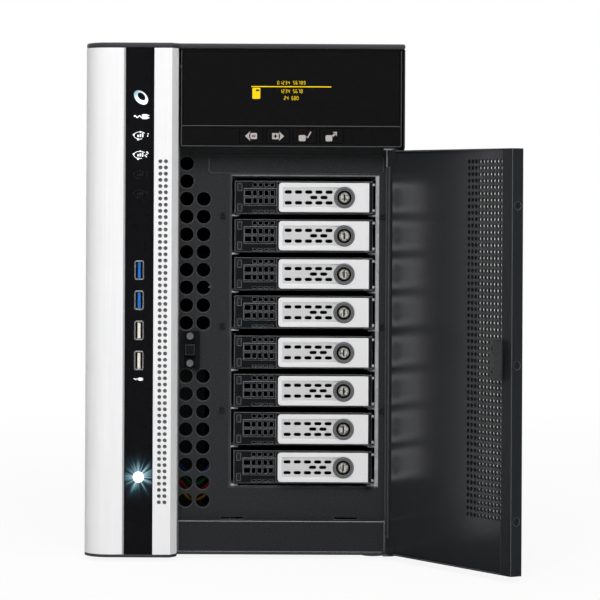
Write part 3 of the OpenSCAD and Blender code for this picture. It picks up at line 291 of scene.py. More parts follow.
def make_finishes(colours, sizes):
    """Every material of the tower, named for what the real piece is made of."""
    # Satin anodised extrusion: nearly white, with fine drawn lines that run up and down.
    coat("column", "anodised_aluminium_satin_drawn", colours.column, 0.9, 0.01, (0.45, 0.55), 0.03,
         stretch=(1, 1, 0.012), edge_mm=0.3, Metallic=0.05, shine=0.05)
    # Powder-coated sheet: black, half matt, with a fine orange peel.
    coat("steel", "powder_coated_steel_black", colours.steel, 1.1, 0.04, (0.42, 0.58), shine=0.3)
    # The same coat drawn lighter, as painted light from above, with a painted highlight along the front edge
    # of the cover.
    coat("cover", "powder_coated_steel_charcoal", colours.cover, 1.1, 0.04, (0.42, 0.58), 0.12, edge_mm=0.5,
         worn=colours.painted_edge_light, shine=0.3)
    # Sand-textured coat: a coarse sparkle of grit; drawn near a millimetre so that it shows, with a painted
    # highlight along its edges.
    coat("plate", "sand_textured_steel_black", colours.plate, 1.0, 0.09, (0.5, 0.72), 0.5, edge_mm=0.7,
         worn=colours.painted_edge_light, shine=0.25)
    # The lower cover has the same coat, drawn a little darker as painted shade, with a painted highlight
    # along its folded edge.
    coat("fold", "sand_textured_steel_bright_fold", shade(colours.plate, 0.82), 1.0, 0.09, (0.5, 0.72), 0.5,
         edge_mm=1.1, worn=linear("#C4C4C6"), shine=0.25)
    # Satin coat on the door's liner: smooth enough to mirror the levers as soft bands.
    coat("door", "satin_coated_steel_charcoal", colours.door, 1.4, 0.003, (0.17, 0.2), 0.06, edge_mm=0.25,
         shine=1.0)
    # The same colour on the door's skin, matt, with a painted highlight along the folds.
    coat("door_skin", "matt_coated_steel_charcoal", colours.door, 1.4, 0.01, (0.34, 0.42), 0.1, edge_mm=0.8,
         worn=colours.painted_edge_light)
    # Moulded ABS: charcoal with a light spark-eroded grain and a painted highlight along its edges.
    coat("tray", "moulded_abs_charcoal", colours.tray, 0.8, 0.03, (0.38, 0.52), edge_mm=0.9,
         worn=shade(colours.painted_edge_light, 1.3), shine=0.25)
    # Open-cell foam over the fans: dead black, full of pores; the same black makes the painted shade strip at
    # the head of the bays.
    coat("foam", "cut_foam_black", shade(colours.tray, 0.5), 1.5, 0.3, (0.9, 1.0), 0.6)
    # Fine woven mesh behind the column's vents: mid grey.
    coat("mesh", "woven_polyester_grey", linear("#707173"), 0.9, 0.05, (0.7, 0.8), 0.12)
    # Fan and switch plastic: plain black glass-filled nylon.
    coat("nylon", "moulded_nylon_black", shade(colours.tray, 0.7), 0.9, 0.03, (0.4, 0.55))
    # Rubber foot: dull black.
    coat("rubber", "moulded_rubber_black", shade(colours.tray, 0.6), 0.7, 0.05, (0.7, 0.85))
    # Deep-drawn nickelled shell: mirror bright with faint drawing lines.
    coat("nickel", "drawn_steel_nickelled", linear("#E4E4E5"), 0.6, 0.008, (0.16, 0.26), 0.06, Metallic=0.8)
    # Smoked acrylic: deep black and even, with a faint haze of dust.
    coat("glass", "cast_acrylic_smoked", colours.glass, 3.0, 0.002, (0.16, 0.22), 0.1, shine=0.15)
    # Moulded bead round it: plain mid grey, partly a real bead and partly a painted highlight along the
    # display's edges.
    coat("trim", "moulded_abs_grey", colours.trim, 0.6, 0.01, (0.35, 0.45), 0.1)
    # Soft lip beside the strip: smooth grey, painted shade where the column's edge turns into the strip.
    coat("lip", "moulded_elastomer_grey", linear("#A8A9AB"), 0.8, 0.01, (0.45, 0.55), 0.1)
    # Solder-masked board: green with a weave of glass cloth.
    coat("board", "etched_board_green", linear("#0E2219"), 1.6, 0.02, (0.3, 0.45), 0.25)
    # Socket tongues: even moulded plastic with a slight sheen.
    coat("tongue_fast", "moulded_pbt_blue", colours.tongue_fast, 0.8, 0.01, (0.35, 0.45), 0.1)
    coat("tongue_plain", "moulded_pbt_ivory", colours.tongue_plain, 0.8, 0.01, (0.35, 0.45), 0.06)
    # Contact springs: warm gold.
    coat("gold", "plated_gold", linear("#E3BE62"), 0.5, 0.005, (0.2, 0.3), 0.1, Metallic=1.0)
    # A pictogram with its lamp out: barely there.
    coat("dim_ink", "printed_ink_unlit", linear("#1D1D1F"), 0.5, 0.004, (0.4, 0.5), 0.3)
    # Warm grey print on the keys.
    coat("key_ink", "printed_ink_warm_grey", colours.key_ink, 0.5, 0.004, (0.45, 0.55), 0.12)
    # Clear lens over an unlit lamp: grey and glassy, with a painted highlight along its edges.
    coat("lens", "moulded_acrylic_grey", linear("#262729"), 0.8, 0.02, (0.08, 0.14), 0.3, edge_mm=0.6,
         worn=colours.painted_edge_light)
    for i, lead in enumerate((colours.lead_1, colours.lead_2, colours.lead_3, colours.lead_4), 1):
        # Soft insulation: even colour with a slight sheen.
        coat(f"lead_{i}", f"extruded_vinyl_lead_{i}", lead, 1.5, 0.01, (0.35, 0.45), 0.1)
    FINISHES.update({
        "zinc": zinc_coat(colours),
        "case_screws": mixed_screws(),
        "strip": gloss_strip(colours, sizes),
        "lever": silver_lever(colours),
        "lock": turned_lock(),
        "sockets": socket_shells(colours),
        "disc": disc_print(colours),
        # Lit pictogram: white ink over a lamp, a little uneven.
        "ink": lit_print("printed_ink_lit_white", colours.ink, 0.45),
        # Lit dots of the display: clear yellow.
        "readout": lit_print("lit_dots_yellow", colours.readout, 0.7),
        # Lens of the power button: glaring white from the lamp close behind it.
        "lamp": lit_print("moulded_lens_lit_white", colours.lamp, 1.6),
    })


def zinc_coat(colours):
    """Hot-dipped zinc: soft grey crystals about 6 mm across."""
    made, tree, shader = surface("hot_dipped_zinc", Metallic=0.3)
    place = add(tree, "TexCoord", out="Object")
    at = add(tree, "SeparateXYZ", {"Vector": place}, None).outputs
    spangle = add(tree, "TexVoronoi", {"Vector": place, "Scale": 1 / (6 * MM)}, "Color")
    level = add(tree, "SeparateColor", {"Color": spangle})
    tone = add(
        tree, "ValToRGB", {"Fac": level},
        stops=[(0.0, shade(colours.zinc, 0.85)), (1.0, shade(colours.zinc, 1.15))]
    )
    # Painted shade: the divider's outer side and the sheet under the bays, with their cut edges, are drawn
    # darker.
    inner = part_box("drive_cage")[0].x + (CAGE_SHEET - 0.03) * MM
    beside = add(tree, "Math", {0: at["X"], 1: inner}, operation="LESS_THAN")
    below = add(tree, "Math", {0: at["Z"], 1: BAY_FOOT_Z * MM}, operation="LESS_THAN")
    painted_shade = add(tree, "Math", {0: beside, 1: below}, operation="MAXIMUM")
    tone = add(tree, "Mix", {0: painted_shade, 6: tone, 7: rgba(shade(colours.zinc, 0.2))}, 2, data_type="RGBA")
    gloss = add(tree, "MapRange", {"Value": level, "To Min": 0.34, "To Max": 0.46})
    feed(shader, {"Base Color": tone, "Roughness": gloss})
    return made


def lit_print(name, rgb, strength):
    """Ink or lens with a lamp behind it; the light is a little uneven over half a millimetre."""
    made, _, shader = grained(name, rgb, 0.6, 0.004, (0.3, 0.4), 0.06, Emission_Strength=strength)
    feed(shader, {"Emission Color": shader.inputs["Base Color"].links[0].from_socket})
    return made


def disc_print(colours):
    """The disc pictogram: lit white that turns blue towards its upper left."""
    made, tree, shader = surface("printed_ink_lit_blue_white", Roughness=0.35, Emission_Strength=0.4)
    place = add(tree, "TexCoord", out="Object")
    at = add(tree, "SeparateXYZ", {"Vector": place}, None).outputs
    across = add(tree, "Math", {0: at["X"], 1: at["Z"]}, operation="SUBTRACT")
    middle = (STRIP_MARK_X - DISC_Z) * MM
    grade = add(
        tree, "MapRange", {"Value": across, "From Min": middle - 9 * MM, "From Max": middle + 2 * MM}
    )
    tone = add(tree, "ValToRGB", {"Fac": grade}, stops=[(0.1, linear("#7E9FB2")), (0.85, colours.ink)])
    feed(shader, {"Base Color": tone, "Emission Color": tone})
    return made


def gloss_strip(colours, sizes):
    """Moulded gloss polycarbonate: black, with a painted glow of the power lamp's rays in its face."""
    made, tree, shader = grained(
        "moulded_polycarbonate_gloss_black", colours.strip, 4.0, 0.003, (0.1, 0.16), 0.15,
        shine=0.22, Emission_Strength=1.0
    )
    low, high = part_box("power_button")
    middle = (low + high) / 2
    place = add(tree, "TexCoord", out="Object")
    flat = add(tree, "VectorMath", {0: place, 1: (middle.x, 0, middle.z)}, operation="SUBTRACT")
    flat = add(tree, "VectorMath", {0: flat, 1: (1, 0, 1)}, operation="MULTIPLY")
    far = add(tree, "VectorMath", {0: flat}, "Value", operation="LENGTH")
    way = add(tree, "VectorMath", {0: flat}, operation="NORMALIZE")
    # The rays are a noise of direction alone, about eighteen round the lamp.
    rays = add(tree, "TexNoise", {"Vector": way, "Scale": 3.6, "Detail": 1.0, "Roughness": 0.5})
    rays = add(tree, "MapRange", {"Value": rays, "From Min": 0.4, "From Max": 0.68, "To Min": 0.18})
    fade = add(
        tree, "MapRange",
        {"Value": far, "From Min": 3.6 * MM, "From Max": sizes.glow_r, "To Min": 1.0, "To Max": 0.0}
    )
    fade = add(tree, "Math", {0: fade, 1: 3.2}, operation="POWER")
    glow = add(tree, "Math", {0: fade, 1: rays}, operation="MULTIPLY")
    tone = add(
        tree, "ValToRGB", {"Fac": glow},
        stops=[(0.0, (0, 0, 0)), (0.12, linear("#1C3038")), (0.5, linear("#86AEBB")), (1.0, colours.lamp)]
    )
    feed(shader, {"Emission Color": tone})
    return made


def silver_lever(colours):
    """Sprayed silver on a moulded lever; its hinge barrel is drawn dark charcoal as painted shade and its
    fingers are steel.
    """
    made, tree, shader = grained(
        "sprayed_silver_on_abs", colours.lever, 0.7, 0.012, (0.34, 0.44), 0.04, Metallic=0.15
    )
    low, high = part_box("lever_1")
    place = add(tree, "TexCoord", out="Object")
    at = add(tree, "SeparateXYZ", {"Vector": place}, None).outputs
    # The hinge barrel's dark charcoal is painted shade on the lever's rounded end.
    share = add(tree, "MapRange", {"Value": at["X"], "From Min": high.x - 10 * MM, "From Max": high.x})
    tone = add(
        tree, "ValToRGB", {"Fac": share}, hard=True,
        stops=[(0.0, colours.lever), (0.55, shade(colours.tray, 2.2)), (0.81, colours.zinc)]
    )
    # Painted shade: anything set in below the front face is drawn darker and greyer.
    recess_shade = add(
        tree, "MapRange",
        {"Value": at["Y"], "From Min": low.y + 0.2 * MM, "From Max": low.y + 0.5 * MM, "To Max": 0.22}
    )
    tone = add(tree, "Mix", {0: recess_shade, 6: tone, 7: (0, 0, 0, 1)}, 2, data_type="RGBA")
    feed(shader, {"Base Color": tone})
    return made


def turned_lock():
    """Die-cast lock: a satin grey collar with painted highlight and shade rims, a black groove, and a core of
    chrome, bared in spots, with a greyer rim; recesses get painted shade.
    """
    made, tree, shader = surface("die_cast_zinc_lock", Metallic=0.35)
    low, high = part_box("lock_1")
    radius = (high.z - low.z) / 2
    place = add(tree, "TexCoord", out="Object")
    at = add(tree, "SeparateXYZ", {"Vector": place}, None).outputs
    # Every lock has the same rings, so the height is measured from the middle of the nearest one.
    dz = None
    for ends in (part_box(f"lock_{i}") for i in BAYS):
        off = add(tree, "Math", {0: at["Z"], 1: (ends[0].z + ends[1].z) / 2}, operation="SUBTRACT")
        off = add(tree, "Math", {0: off}, operation="ABSOLUTE")
        dz = off if dz is None else add(tree, "Math", {0: dz, 1: off}, operation="MINIMUM")
    dx = add(tree, "Math", {0: at["X"], 1: high.x - radius}, operation="SUBTRACT")
    flat = add(tree, "CombineXYZ", {"X": dx, "Z": dz})
    far = add(tree, "VectorMath", {0: flat}, "Value", operation="LENGTH")
    share = add(tree, "Math", {0: far, 1: radius}, operation="DIVIDE")
    tone = add(tree, "ValToRGB", {"Fac": share}, stops=[(r, linear(tint)) for r, tint in LOCK_RINGS])
    # Painted shade: anything cut in deeper than the core's face is drawn near black.
    recess_shade = add(
        tree, "MapRange", {"Value": at["Y"], "From Min": low.y + 0.42 * MM, "From Max": low.y + 0.7 * MM}
    )
    tone = add(tree, "Mix", {0: recess_shade, 6: tone, 7: rgba(linear("#08080A"))}, 2, data_type="RGBA")
    # The core's chrome is rubbed through in spots about a millimetre across.
    wear = add(tree, "TexNoise", {"Vector": place, "Scale": 1 / (1.6 * MM), "Detail": 2.0})
    spots = add(tree, "MapRange", {"Value": wear, "From Min": 0.48, "From Max": 0.62, "To Max": 0.85})
    core = add(tree, "Math", {0: share, 1: LOCK_CORE}, operation="LESS_THAN")
    spots = add(tree, "Math", {0: spots, 1: core}, operation="MULTIPLY")
    tone = add(tree, "Mix", {0: spots, 6: tone, 7: rgba(linear("#262625"))}, 2, data_type="RGBA")
    gloss = add(tree, "MapRange", {"Value": wear, "To Min": 0.2, "To Max": 0.44})
    feed(shader, {"Base Color": tone, "Roughness": gloss})
    return made


def mixed_screws():
    """Blackened case screws; the two of the touch latch are bright zinc."""
    black = linear("#454648")
    made, tree, shader = grained(
        "turned_steel_black_and_bright", black, 0.5, 0.01, (0.28, 0.38), 0.15, Metallic=0.7
    )
    low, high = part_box("touch_latch")
    place = add(tree, "TexCoord", out="Object")
    at = add(tree, "SeparateXYZ", {"Vector": place}, None).outputs
    ends = (2 * low.x - high.x, 2 * high.x - low.x)
    share = add(tree, "MapRange", {"Value": at["X"], "From Min": ends[0], "From Max": ends[1]})
    tone = add(
        tree, "ValToRGB", {"Fac": share}, hard=True,
        stops=[(0.0, black), (0.34, linear("#B5B6B8")), (0.66, black)]
    )
    feed(shader, {"Base Color": tone})
    return made


def socket_shells(colours):
    """Nickelled socket shells; the mains inlet at the left is moulded black."""
    nickel = linear("#CFD0D2")
    made, tree, shader = grained("nickelled_shells_and_inlet", nickel, 0.8, 0.01, (0.25, 0.35), 0.08)
    low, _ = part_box("rear_sockets")
    place = add(tree, "TexCoord", out="Object")
    at = add(tree, "SeparateXYZ", {"Vector": place}, None).outputs
    share = add(tree, "MapRange", {"Value": at["X"], "From Min": low.x, "From Max": low.x + 80 * MM})
    for socket, left, right in (("Base Color", colours.tray, nickel), ("Metallic", (0.0,) * 3, (0.9,) * 3)):
        step = add(tree, "ValToRGB", {"Fac": share}, hard=True, stops=[(0.0, left), (0.42, right)])
        feed(shader, {socket: step})
    return made


def dress(names, finish, edge=0.0, steps=2):
    """Give frame nodes a finish and, where edge is a width, softly rounded edges."""
    for name in names:
        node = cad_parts[name]
        node.data.materials.clear()
        node.data.materials.append(FINISHES[finish])
        if not edge:
            continue
        node.modifiers.new("weld", "WELD").merge_threshold = 0.002 * MM
        bevel = node.modifiers.new("edge", "BEVEL")
        bevel.width = edge
        bevel.segments = steps
        bevel.limit_method = "ANGLE"
        bevel.angle_limit = math.radians(EDGE_ANGLE)
        bevel.use_clamp_overlap = False
        bevel.loop_slide = False
        bevel.miter_outer = "MITER_ARC"
        node.modifiers.new("normals", "WEIGHTED_NORMAL").weight = 80


def piece(name, mesh, finishes, body, smooth=35):
    """Make an object of a mesh drawn in millimetres, and let it ride on a body."""
    bmesh.ops.recalc_face_normals(mesh, faces=mesh.faces)
    bmesh.ops.scale(mesh, vec=(MM, MM, MM), verts=mesh.verts)
    data = bpy.data.meshes.new(name)
    mesh.to_mesh(data)
    mesh.free()
    data.shade_smooth()
    data.set_sharp_from_angle(angle=math.radians(smooth))
    for finish in finishes:
        data.materials.append(FINISHES[finish])
    made = bpy.data.objects.new(name, data)
    bpy.context.scene.collection.objects.link(made)
    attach(made, body)
    return made


def bridge(mesh, rings, slot=0):
    """A closed skin over rings with as many corners."""
    faces = [rings[0][::-1], rings[-1]]
    for a, b in zip(rings, rings[1:]):
        faces += [(a[k - 1], a[k], b[k], b[k - 1]) for k in range(len(a))]
    for corners in faces:
        mesh.faces.new(corners).material_index = slot


def loft(mesh, outlines, planes, slot=0):
    """A closed skin over outlines of x and z points, as many in each, in their own planes of y."""
    bridge(mesh, [[mesh.verts.new((x, y, z)) for x, z in line] for line, y in zip(outlines, planes)], slot)


def slab(mesh, outline, y, slot=0):
    """A closed slab: one outline from the plane y[0] to y[1]."""
    loft(mesh, (outline, outline), y, slot)


def collar(mesh, inner, outer, y):
    """A closed ring between two outlines with as many points, from the plane y[0] to y[1]."""
    loops = [[mesh.verts.new((x, plane, z)) for x, z in line] for plane in y for line in (inner, outer)]
    for i in range(len(inner)):
        for a, b in ((0, 1), (1, 3), (3, 2), (2, 0)):
            mesh.faces.new((loops[a][i - 1], loops[b][i - 1], loops[b][i], loops[a][i]))


def oval(centre, radii, turn=0.0, count=40):
    """Points of an ellipse, turned about its middle."""
    c, s = math.cos(turn), math.sin(turn)
    points = []
    for i in range(count):
        a = 2 * math.pi * i / count
        u, v = radii[0] * math.cos(a), radii[1] * math.sin(a)
        points.append((centre[0] + u * c - v * s, centre[1] + u * s + v * c))
    return points


def rounded(centre, size, radius, count=5):
    """Points of a rectangle with round corners."""
    points = []
    for k, (sx, sz) in enumerate(((1, 1), (-1, 1), (-1, -1), (1, -1))):
        cx = centre[0] + sx * (size[0] / 2 - radius)
        cz = centre[1] + sz * (size[1] / 2 - radius)
        for i in range(count):
            a = math.pi / 2 * (k + i / (count - 1))
            points.append((cx + radius * math.cos(a), cz + radius * math.sin(a)))
    return points


def flanks(points, width):
    """Each point of a line, with half the width across the line there."""
    for i, point in enumerate(points):
        before = Vector(points[max(i - 1, 0)])
        after = Vector(points[min(i + 1, len(points) - 1)])
        run = (after - before).normalized()
        yield Vector(point), Vector((-run.y, run.x)) * width / 2


def stroke(mesh, points, width, y):
    """A drawn line of one width with square ends."""
    left, right = [], []
    for point, side in flanks(points, width):
        left.append(tuple(point + side))
        right.append(tuple(point - side))
    slab(mesh, left + right[::-1], y)


def bead(mesh, points, width, y):
    """A half-round bead along a line; y is its crest and its foot."""
    rows = []
    for point, side in flanks(points, width):
        row = []
        for k in range(5):
            a = math.pi * k / 4
            x, z = point + side * math.cos(a)
            row.append(mesh.verts.new((x, y[1] + (y[0] - y[1]) * math.sin(a), z)))
        rows.append(row)
    bridge(mesh, rows)


def eased(points, steps=6):
    """A smooth line through points, by Catmull and Rom's rule."""
    ends = [points[0] * 2 - points[1], *points, points[-1] * 2 - points[-2]]
    line = []
    for a, b, c, d in zip(ends, ends[1:], ends[2:], ends[3:]):
        for k in range(steps):
            t = k / steps
            line.append(
                b + (c - a) * t / 2 + (a * 2 - b * 5 + c * 4 - d) * t * t / 2
                + (b * 3 - a - c * 3 + d) * t ** 3 / 2
            )
    return line + [points[-1]]


def tube(mesh, line, radius, sides=10):
    """A round tube along a line, closed at its ends."""
    rings = []
    side = Vector((0, 0, 1))
    for i, point in enumerate(line):
        run = (line[min(i + 1, len(line) - 1)] - line[max(i - 1, 0)]).normalized()
        side = (side - run * side.dot(run)).normalized()
        up = run.cross(side)
        rings.append([
            mesh.verts.new(point + (side * math.cos(a) + up * math.sin(a)) * radius)
            for a in (2 * math.pi * k / sides for k in range(sides))
        ])
    bridge(mesh, rings)


# Strokes by their ends on a grid of two by three points, and the strokes of each numeral.
SEGMENTS = {
    "a": ((0, 2), (1, 2)), "b": ((1, 1), (1, 2)), "c": ((1, 0), (1, 1)), "d": ((0, 0), (1, 0)),
    "e": ((0, 0), (0, 1)), "f": ((0, 1), (0, 2)), "g": ((0, 1), (1, 1)),
}
DIGITS = ("abcdef", "bc", "abged", "abgcd", "fgbc", "afgcd", "afgedc", "abc", "abcdefg", "abcdfg")


def digit(mesh, value, corner, size, width, y, slant=0.0):
    """One seven-stroke numeral; its strokes stop short of each other."""
    trim = width * 0.55
    for name in DIGITS[value]:
        ends = []
        start, stop = SEGMENTS[name]
        for (x, z), (ox, oz) in ((start, stop), (stop, start)):
            u = corner[0] + x * size[0] + trim * (ox - x)
            v = corner[1] + z * size[1] / 2 + trim * (oz - z)
            ends.append((u + slant * (v - corner[1]), v))
        stroke(mesh, ends, width, y)


def numerals(mesh, text, middle, size, width, y):
    """A row of numerals about a middle point; a space is left for anything that is not one."""
    pitch = size[0] * 1.75
    x = middle[0] - pitch * (len(text) - 1) / 2 - size[0] / 2
    for letter in text:
        if letter.isdigit():
            digit(mesh, int(letter), (x, middle[1] - size[1] / 2), size, width, y)
        x += pitch


class TOWER_OT_finishes(Operator):
    """Mix the finishes of every piece"""

    bl_idname = "tower.finishes"
    bl_label = "Finishes"

    def execute(self, context):
        make_finishes(context.scene.tower_colours, context.scene.tower_sizes)
        return {"FINISHED"}


class TOWER_OT_case(Operator):
    """Coat the case sheets, the top cover and the feet, and blacken the screws"""

    bl_idname = "tower.case"
    bl_label = "Case"

    def execute(self, context):
        sizes = context.scene.tower_sizes
        dress(("left_side_panel", "right_side_panel", "rear_panel"), "steel", sizes.sheet_edge)
        dress(("chassis_base",), "cover", sizes.sheet_edge)
        dress(("front_plate",), "plate")
        dress(("lower_cover",), "fold")
        dress(("top_cover",), "cover", sizes.cover_edge, 3)
        dress(("feet",), "rubber", sizes.moulded_edge)
        dress(("case_screws",), "case_screws")
        return {"FINISHED"}


class TOWER_OT_cage(Operator):
    """Zinc-coat the drive cage and the hinge brackets"""

    bl_idname = "tower.cage"
    bl_label = "Drive cage"

    def execute(self, context):
        dress(("drive_cage", "hinge_brackets"), "zinc", context.scene.tower_sizes.sheet_edge)
        self.painted_shade_strip()
        return {"FINISHED"}

    def painted_shade_strip(self):
        """A strip in the black foam finish on the lower part of the cage's head flange: painted shade in the
        gap above the trays.
        """
        low, high = (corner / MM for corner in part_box("drive_cage"))
        width, depth, corner = 1.6, 0.8, 0.5
        x = (low.x + CAGE_SHEET, high.x - CAGE_FLANGE)
        outline = rounded(((x[0] + x[1]) / 2, BAY_HEAD_Z + width / 2), (x[1] - x[0], width), corner)
        mesh = bmesh.new()
        slab(mesh, outline, (low.y - depth, low.y))
        piece("bay_head_painted_shade", mesh, ["foam"], "case")


class TOWER_OT_column(Operator):
    """Anodise the column, fit the gloss strip and its sockets and print its pictograms"""

    bl_idname = "tower.column"
    bl_label = "Front column"

    def execute(self, context):
        sizes = context.scene.tower_sizes
        dress(("front_column",), "column")
        dress(("control_strip",), "strip")
        dress(("usb_shells",), "nickel", sizes.moulded_edge)
        dress(("front_boards",), "board")
        self.tongues()
        self.painted_shade_strip()
        self.backing()
        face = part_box("control_strip")[0].y / MM
        y = (face - sizes.print_t / MM, face + PRINT_SUNK)
        self.disc(y)
        self.plugs(y)
        self.networks(y)
        return {"FINISHED"}

    def painted_shade_strip(self):
        """A grey half-round lip along the left of the strip, whose grey is painted shade where the column's
        edge turns into the strip.
        """
        low, high = (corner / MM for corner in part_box("control_strip"))
        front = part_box("front_column")[0].y / MM
        width, gap, crest = 1.4, 0.15, 0.3
        x = low.x - gap - width / 2
        mesh = bmesh.new()
        y = (front - crest, front + PRINT_SUNK)
        bead(mesh, [(x, low.z), (x, (low.z + high.z) / 2), (x, high.z)], width, y)
        piece("strip_edge_painted_shade", mesh, ["lip"], "case", 60)

    def backing(self):
        """A strip of grey mesh behind the vents, flat on the inside of the wall."""
        x, z, size, corner, thick = -61.5, 172.5, (8.6, 261.0), 1.0, 0.5
        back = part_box("front_column")[0].y / MM + COLUMN_WALL
        mesh = bmesh.new()
        slab(mesh, rounded((x, z), size, corner), (back, back + thick))
        piece("vent_mesh", mesh, ["mesh"], "case")

    def tongues(self):
        """The four socket tongues with their contacts, drawn over the plain ones of the frame."""
        low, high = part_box("usb_shells")
        x = (low.x + high.x) / 2 / MM
        front = low.y / MM + TONGUE_IN
        step = ((high.z - low.z) / MM - SHELL_H) / 3
        for name, finish, places in (
            ("tongues_fast", "tongue_fast", (0, 1)), ("tongues_plain", "tongue_plain", (2, 3))
        ):
            mesh = bmesh.new()
            for k in places:
                z = high.z / MM - SHELL_H / 2 - step * k
                # The front end is a little smaller than the rest.
                slab(mesh, rounded((x, z), (1.7, 11.5), 0.3), (front, front + 0.3))
                slab(mesh, rounded((x, z), (2.12, 11.9), 0.3), (front + 0.3, front + 9))
                for c in range(4):
                    spring = rounded((x + 1.1, z - 3.5 + 7 / 3 * c), (0.3, 1.0), 0.1)
                    slab(mesh, spring, (front + 1.2, front + 8), 1)
            piece(name, mesh, [finish, "gold"], "case")

    def disc(self, y):
        """A disc seen aslant."""
        mesh = bmesh.new()
        turn = math.radians(-45)
        collar(mesh, oval((STRIP_MARK_X + 0.45, DISC_Z + 0.8), (3.5, 2.2), turn),
               oval((STRIP_MARK_X, DISC_Z), (6.3, 4.2), turn), y)
        piece("mark_disc", mesh, ["disc"], "case")

    def plugs(self, y):
        """A plug with its lead, lit above and small under the sockets."""
        for name, z, size in (("mark_plug", PLUG_Z, 1.0), ("mark_sockets", SOCKET_MARK_Z, 0.62)):
            mesh = bmesh.new()
            x = STRIP_MARK_X - (1.3 if size < 1 else 0)
            slab(mesh, rounded((x + 2.9 * size, z), (4.2 * size, 3.6 * size), 0.7 * size), y)
            for s in (-1, 1):
                prong = rounded((x + 5.7 * size, z + s * 0.9 * size), (1.3 * size, 0.8 * size), 0.2 * size)
                slab(mesh, prong, y)
            bend = [(x - 5.2 * size + 0.4 * size * i, z + 0.8 * size * math.sin(i * 0.75)) for i in range(16)]
            stroke(mesh, bend, 0.75 * size, y)
            piece(name, mesh, ["ink"], "case")

    def networks(self, y):
        """An orbit with two stations round a numeral, one for each network."""
        for i, z in enumerate(NET_Z, 1):
            mesh = bmesh.new()
            arc = []
            for k in range(25):
                a = math.radians(40 + 250 * k / 24)
                arc.append((STRIP_MARK_X - 0.6 + 4.6 * math.cos(a), z + 2.7 * math.sin(a) - 0.25))
            stroke(mesh, arc, 0.4, y)
            for u, v, r in ((-4.9, 0.5, 0.75), (-1.6, -3.0, 0.8), (0.1, 2.7, 0.6)):
                slab(mesh, oval((STRIP_MARK_X - 0.4 + u, z + v - 0.2), (r, r), count=16), y)
            for k in range(3):
                middle = (STRIP_MARK_X - 2.0 + 1.7 * k, z - 0.3 * (2 - k))
                slab(mesh, rounded(middle, (1.1, 1.6 + 0.7 * k), 0.2), y)
            digit(mesh, i, (STRIP_MARK_X + 3.2, z - 1.5), (1.9, 3.4), 0.75, y, slant=0.15)
            piece(f"mark_network_{i}", mesh, ["ink" if i < 3 else "dim_ink"], "case")


class TOWER_OT_power_button(Operator):
    """Light the power button"""

    bl_idname = "tower.power_button"
    bl_label = "Power button"

    def execute(self, context):
        dress(("power_button",), "lamp", context.scene.tower_sizes.moulded_edge)
        return {"FINISHED"}


class TOWER_OT_display(Operator):
    """Fit the smoked window and draw the lit readout"""

    bl_idname = "tower.display"
    bl_label = "Display"

    def execute(self, context):
        sizes = context.scene.tower_sizes
        dress(("display_bezel", "display_window"), "glass", sizes.moulded_edge)
        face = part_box("display_window")[0].y / MM
        y = (face - sizes.print_t / MM, face + PRINT_SUNK)
        mesh = bmesh.new()
        slab(mesh, rounded((READOUT_X, READOUT_RULE_Z), (60.4, 0.75), 0.3), y)
        for text, z, size in READOUT_ROWS:
            numerals(mesh, text, (READOUT_X, z), size, READOUT_STROKE, y)
        # A small filled box with a slot in its upper right.
        collar(mesh, rounded((9.1, 354.8), (2.7, 1.3), 0.3), rounded((8.1, 352.55), (6.0, 8.3), 0.7), y)
        piece("readout", mesh, ["readout"], "case")
        self.trim(face)
        return {"FINISHED"}

    def trim(self, face):
        """A thin grey bead down the sides and along the bottom, and one above the keys; partly a real rim and
        partly a painted highlight along the edges.
        """
        low, high = (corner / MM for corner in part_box("display_bezel"))
        inset, corner, width, stop = 0.55, 1.3, 0.65, high.z - 1.2
        x, z = (low.x + inset, high.x - inset), low.z + inset
        line = [(x[0], stop)]
        for middle, first in ((x[0] + corner, math.pi), (x[1] - corner, 1.5 * math.pi)):
            for k in range(7):
                a = first + math.pi / 2 * k / 6
                line.append((middle + corner * math.cos(a), z + corner + corner * math.sin(a)))
        line.append((x[1], stop))
        mesh = bmesh.new()
        y = (face - 0.28, face + 0.03)
        bead(mesh, line, width, y)
        bead(mesh, [(x[0] + width, KEY_ROW_Z), (0, KEY_ROW_Z), (x[1] - width, KEY_ROW_Z)], width, y)
        piece("display_highlight_bead", mesh, ["trim"], "case", 60)


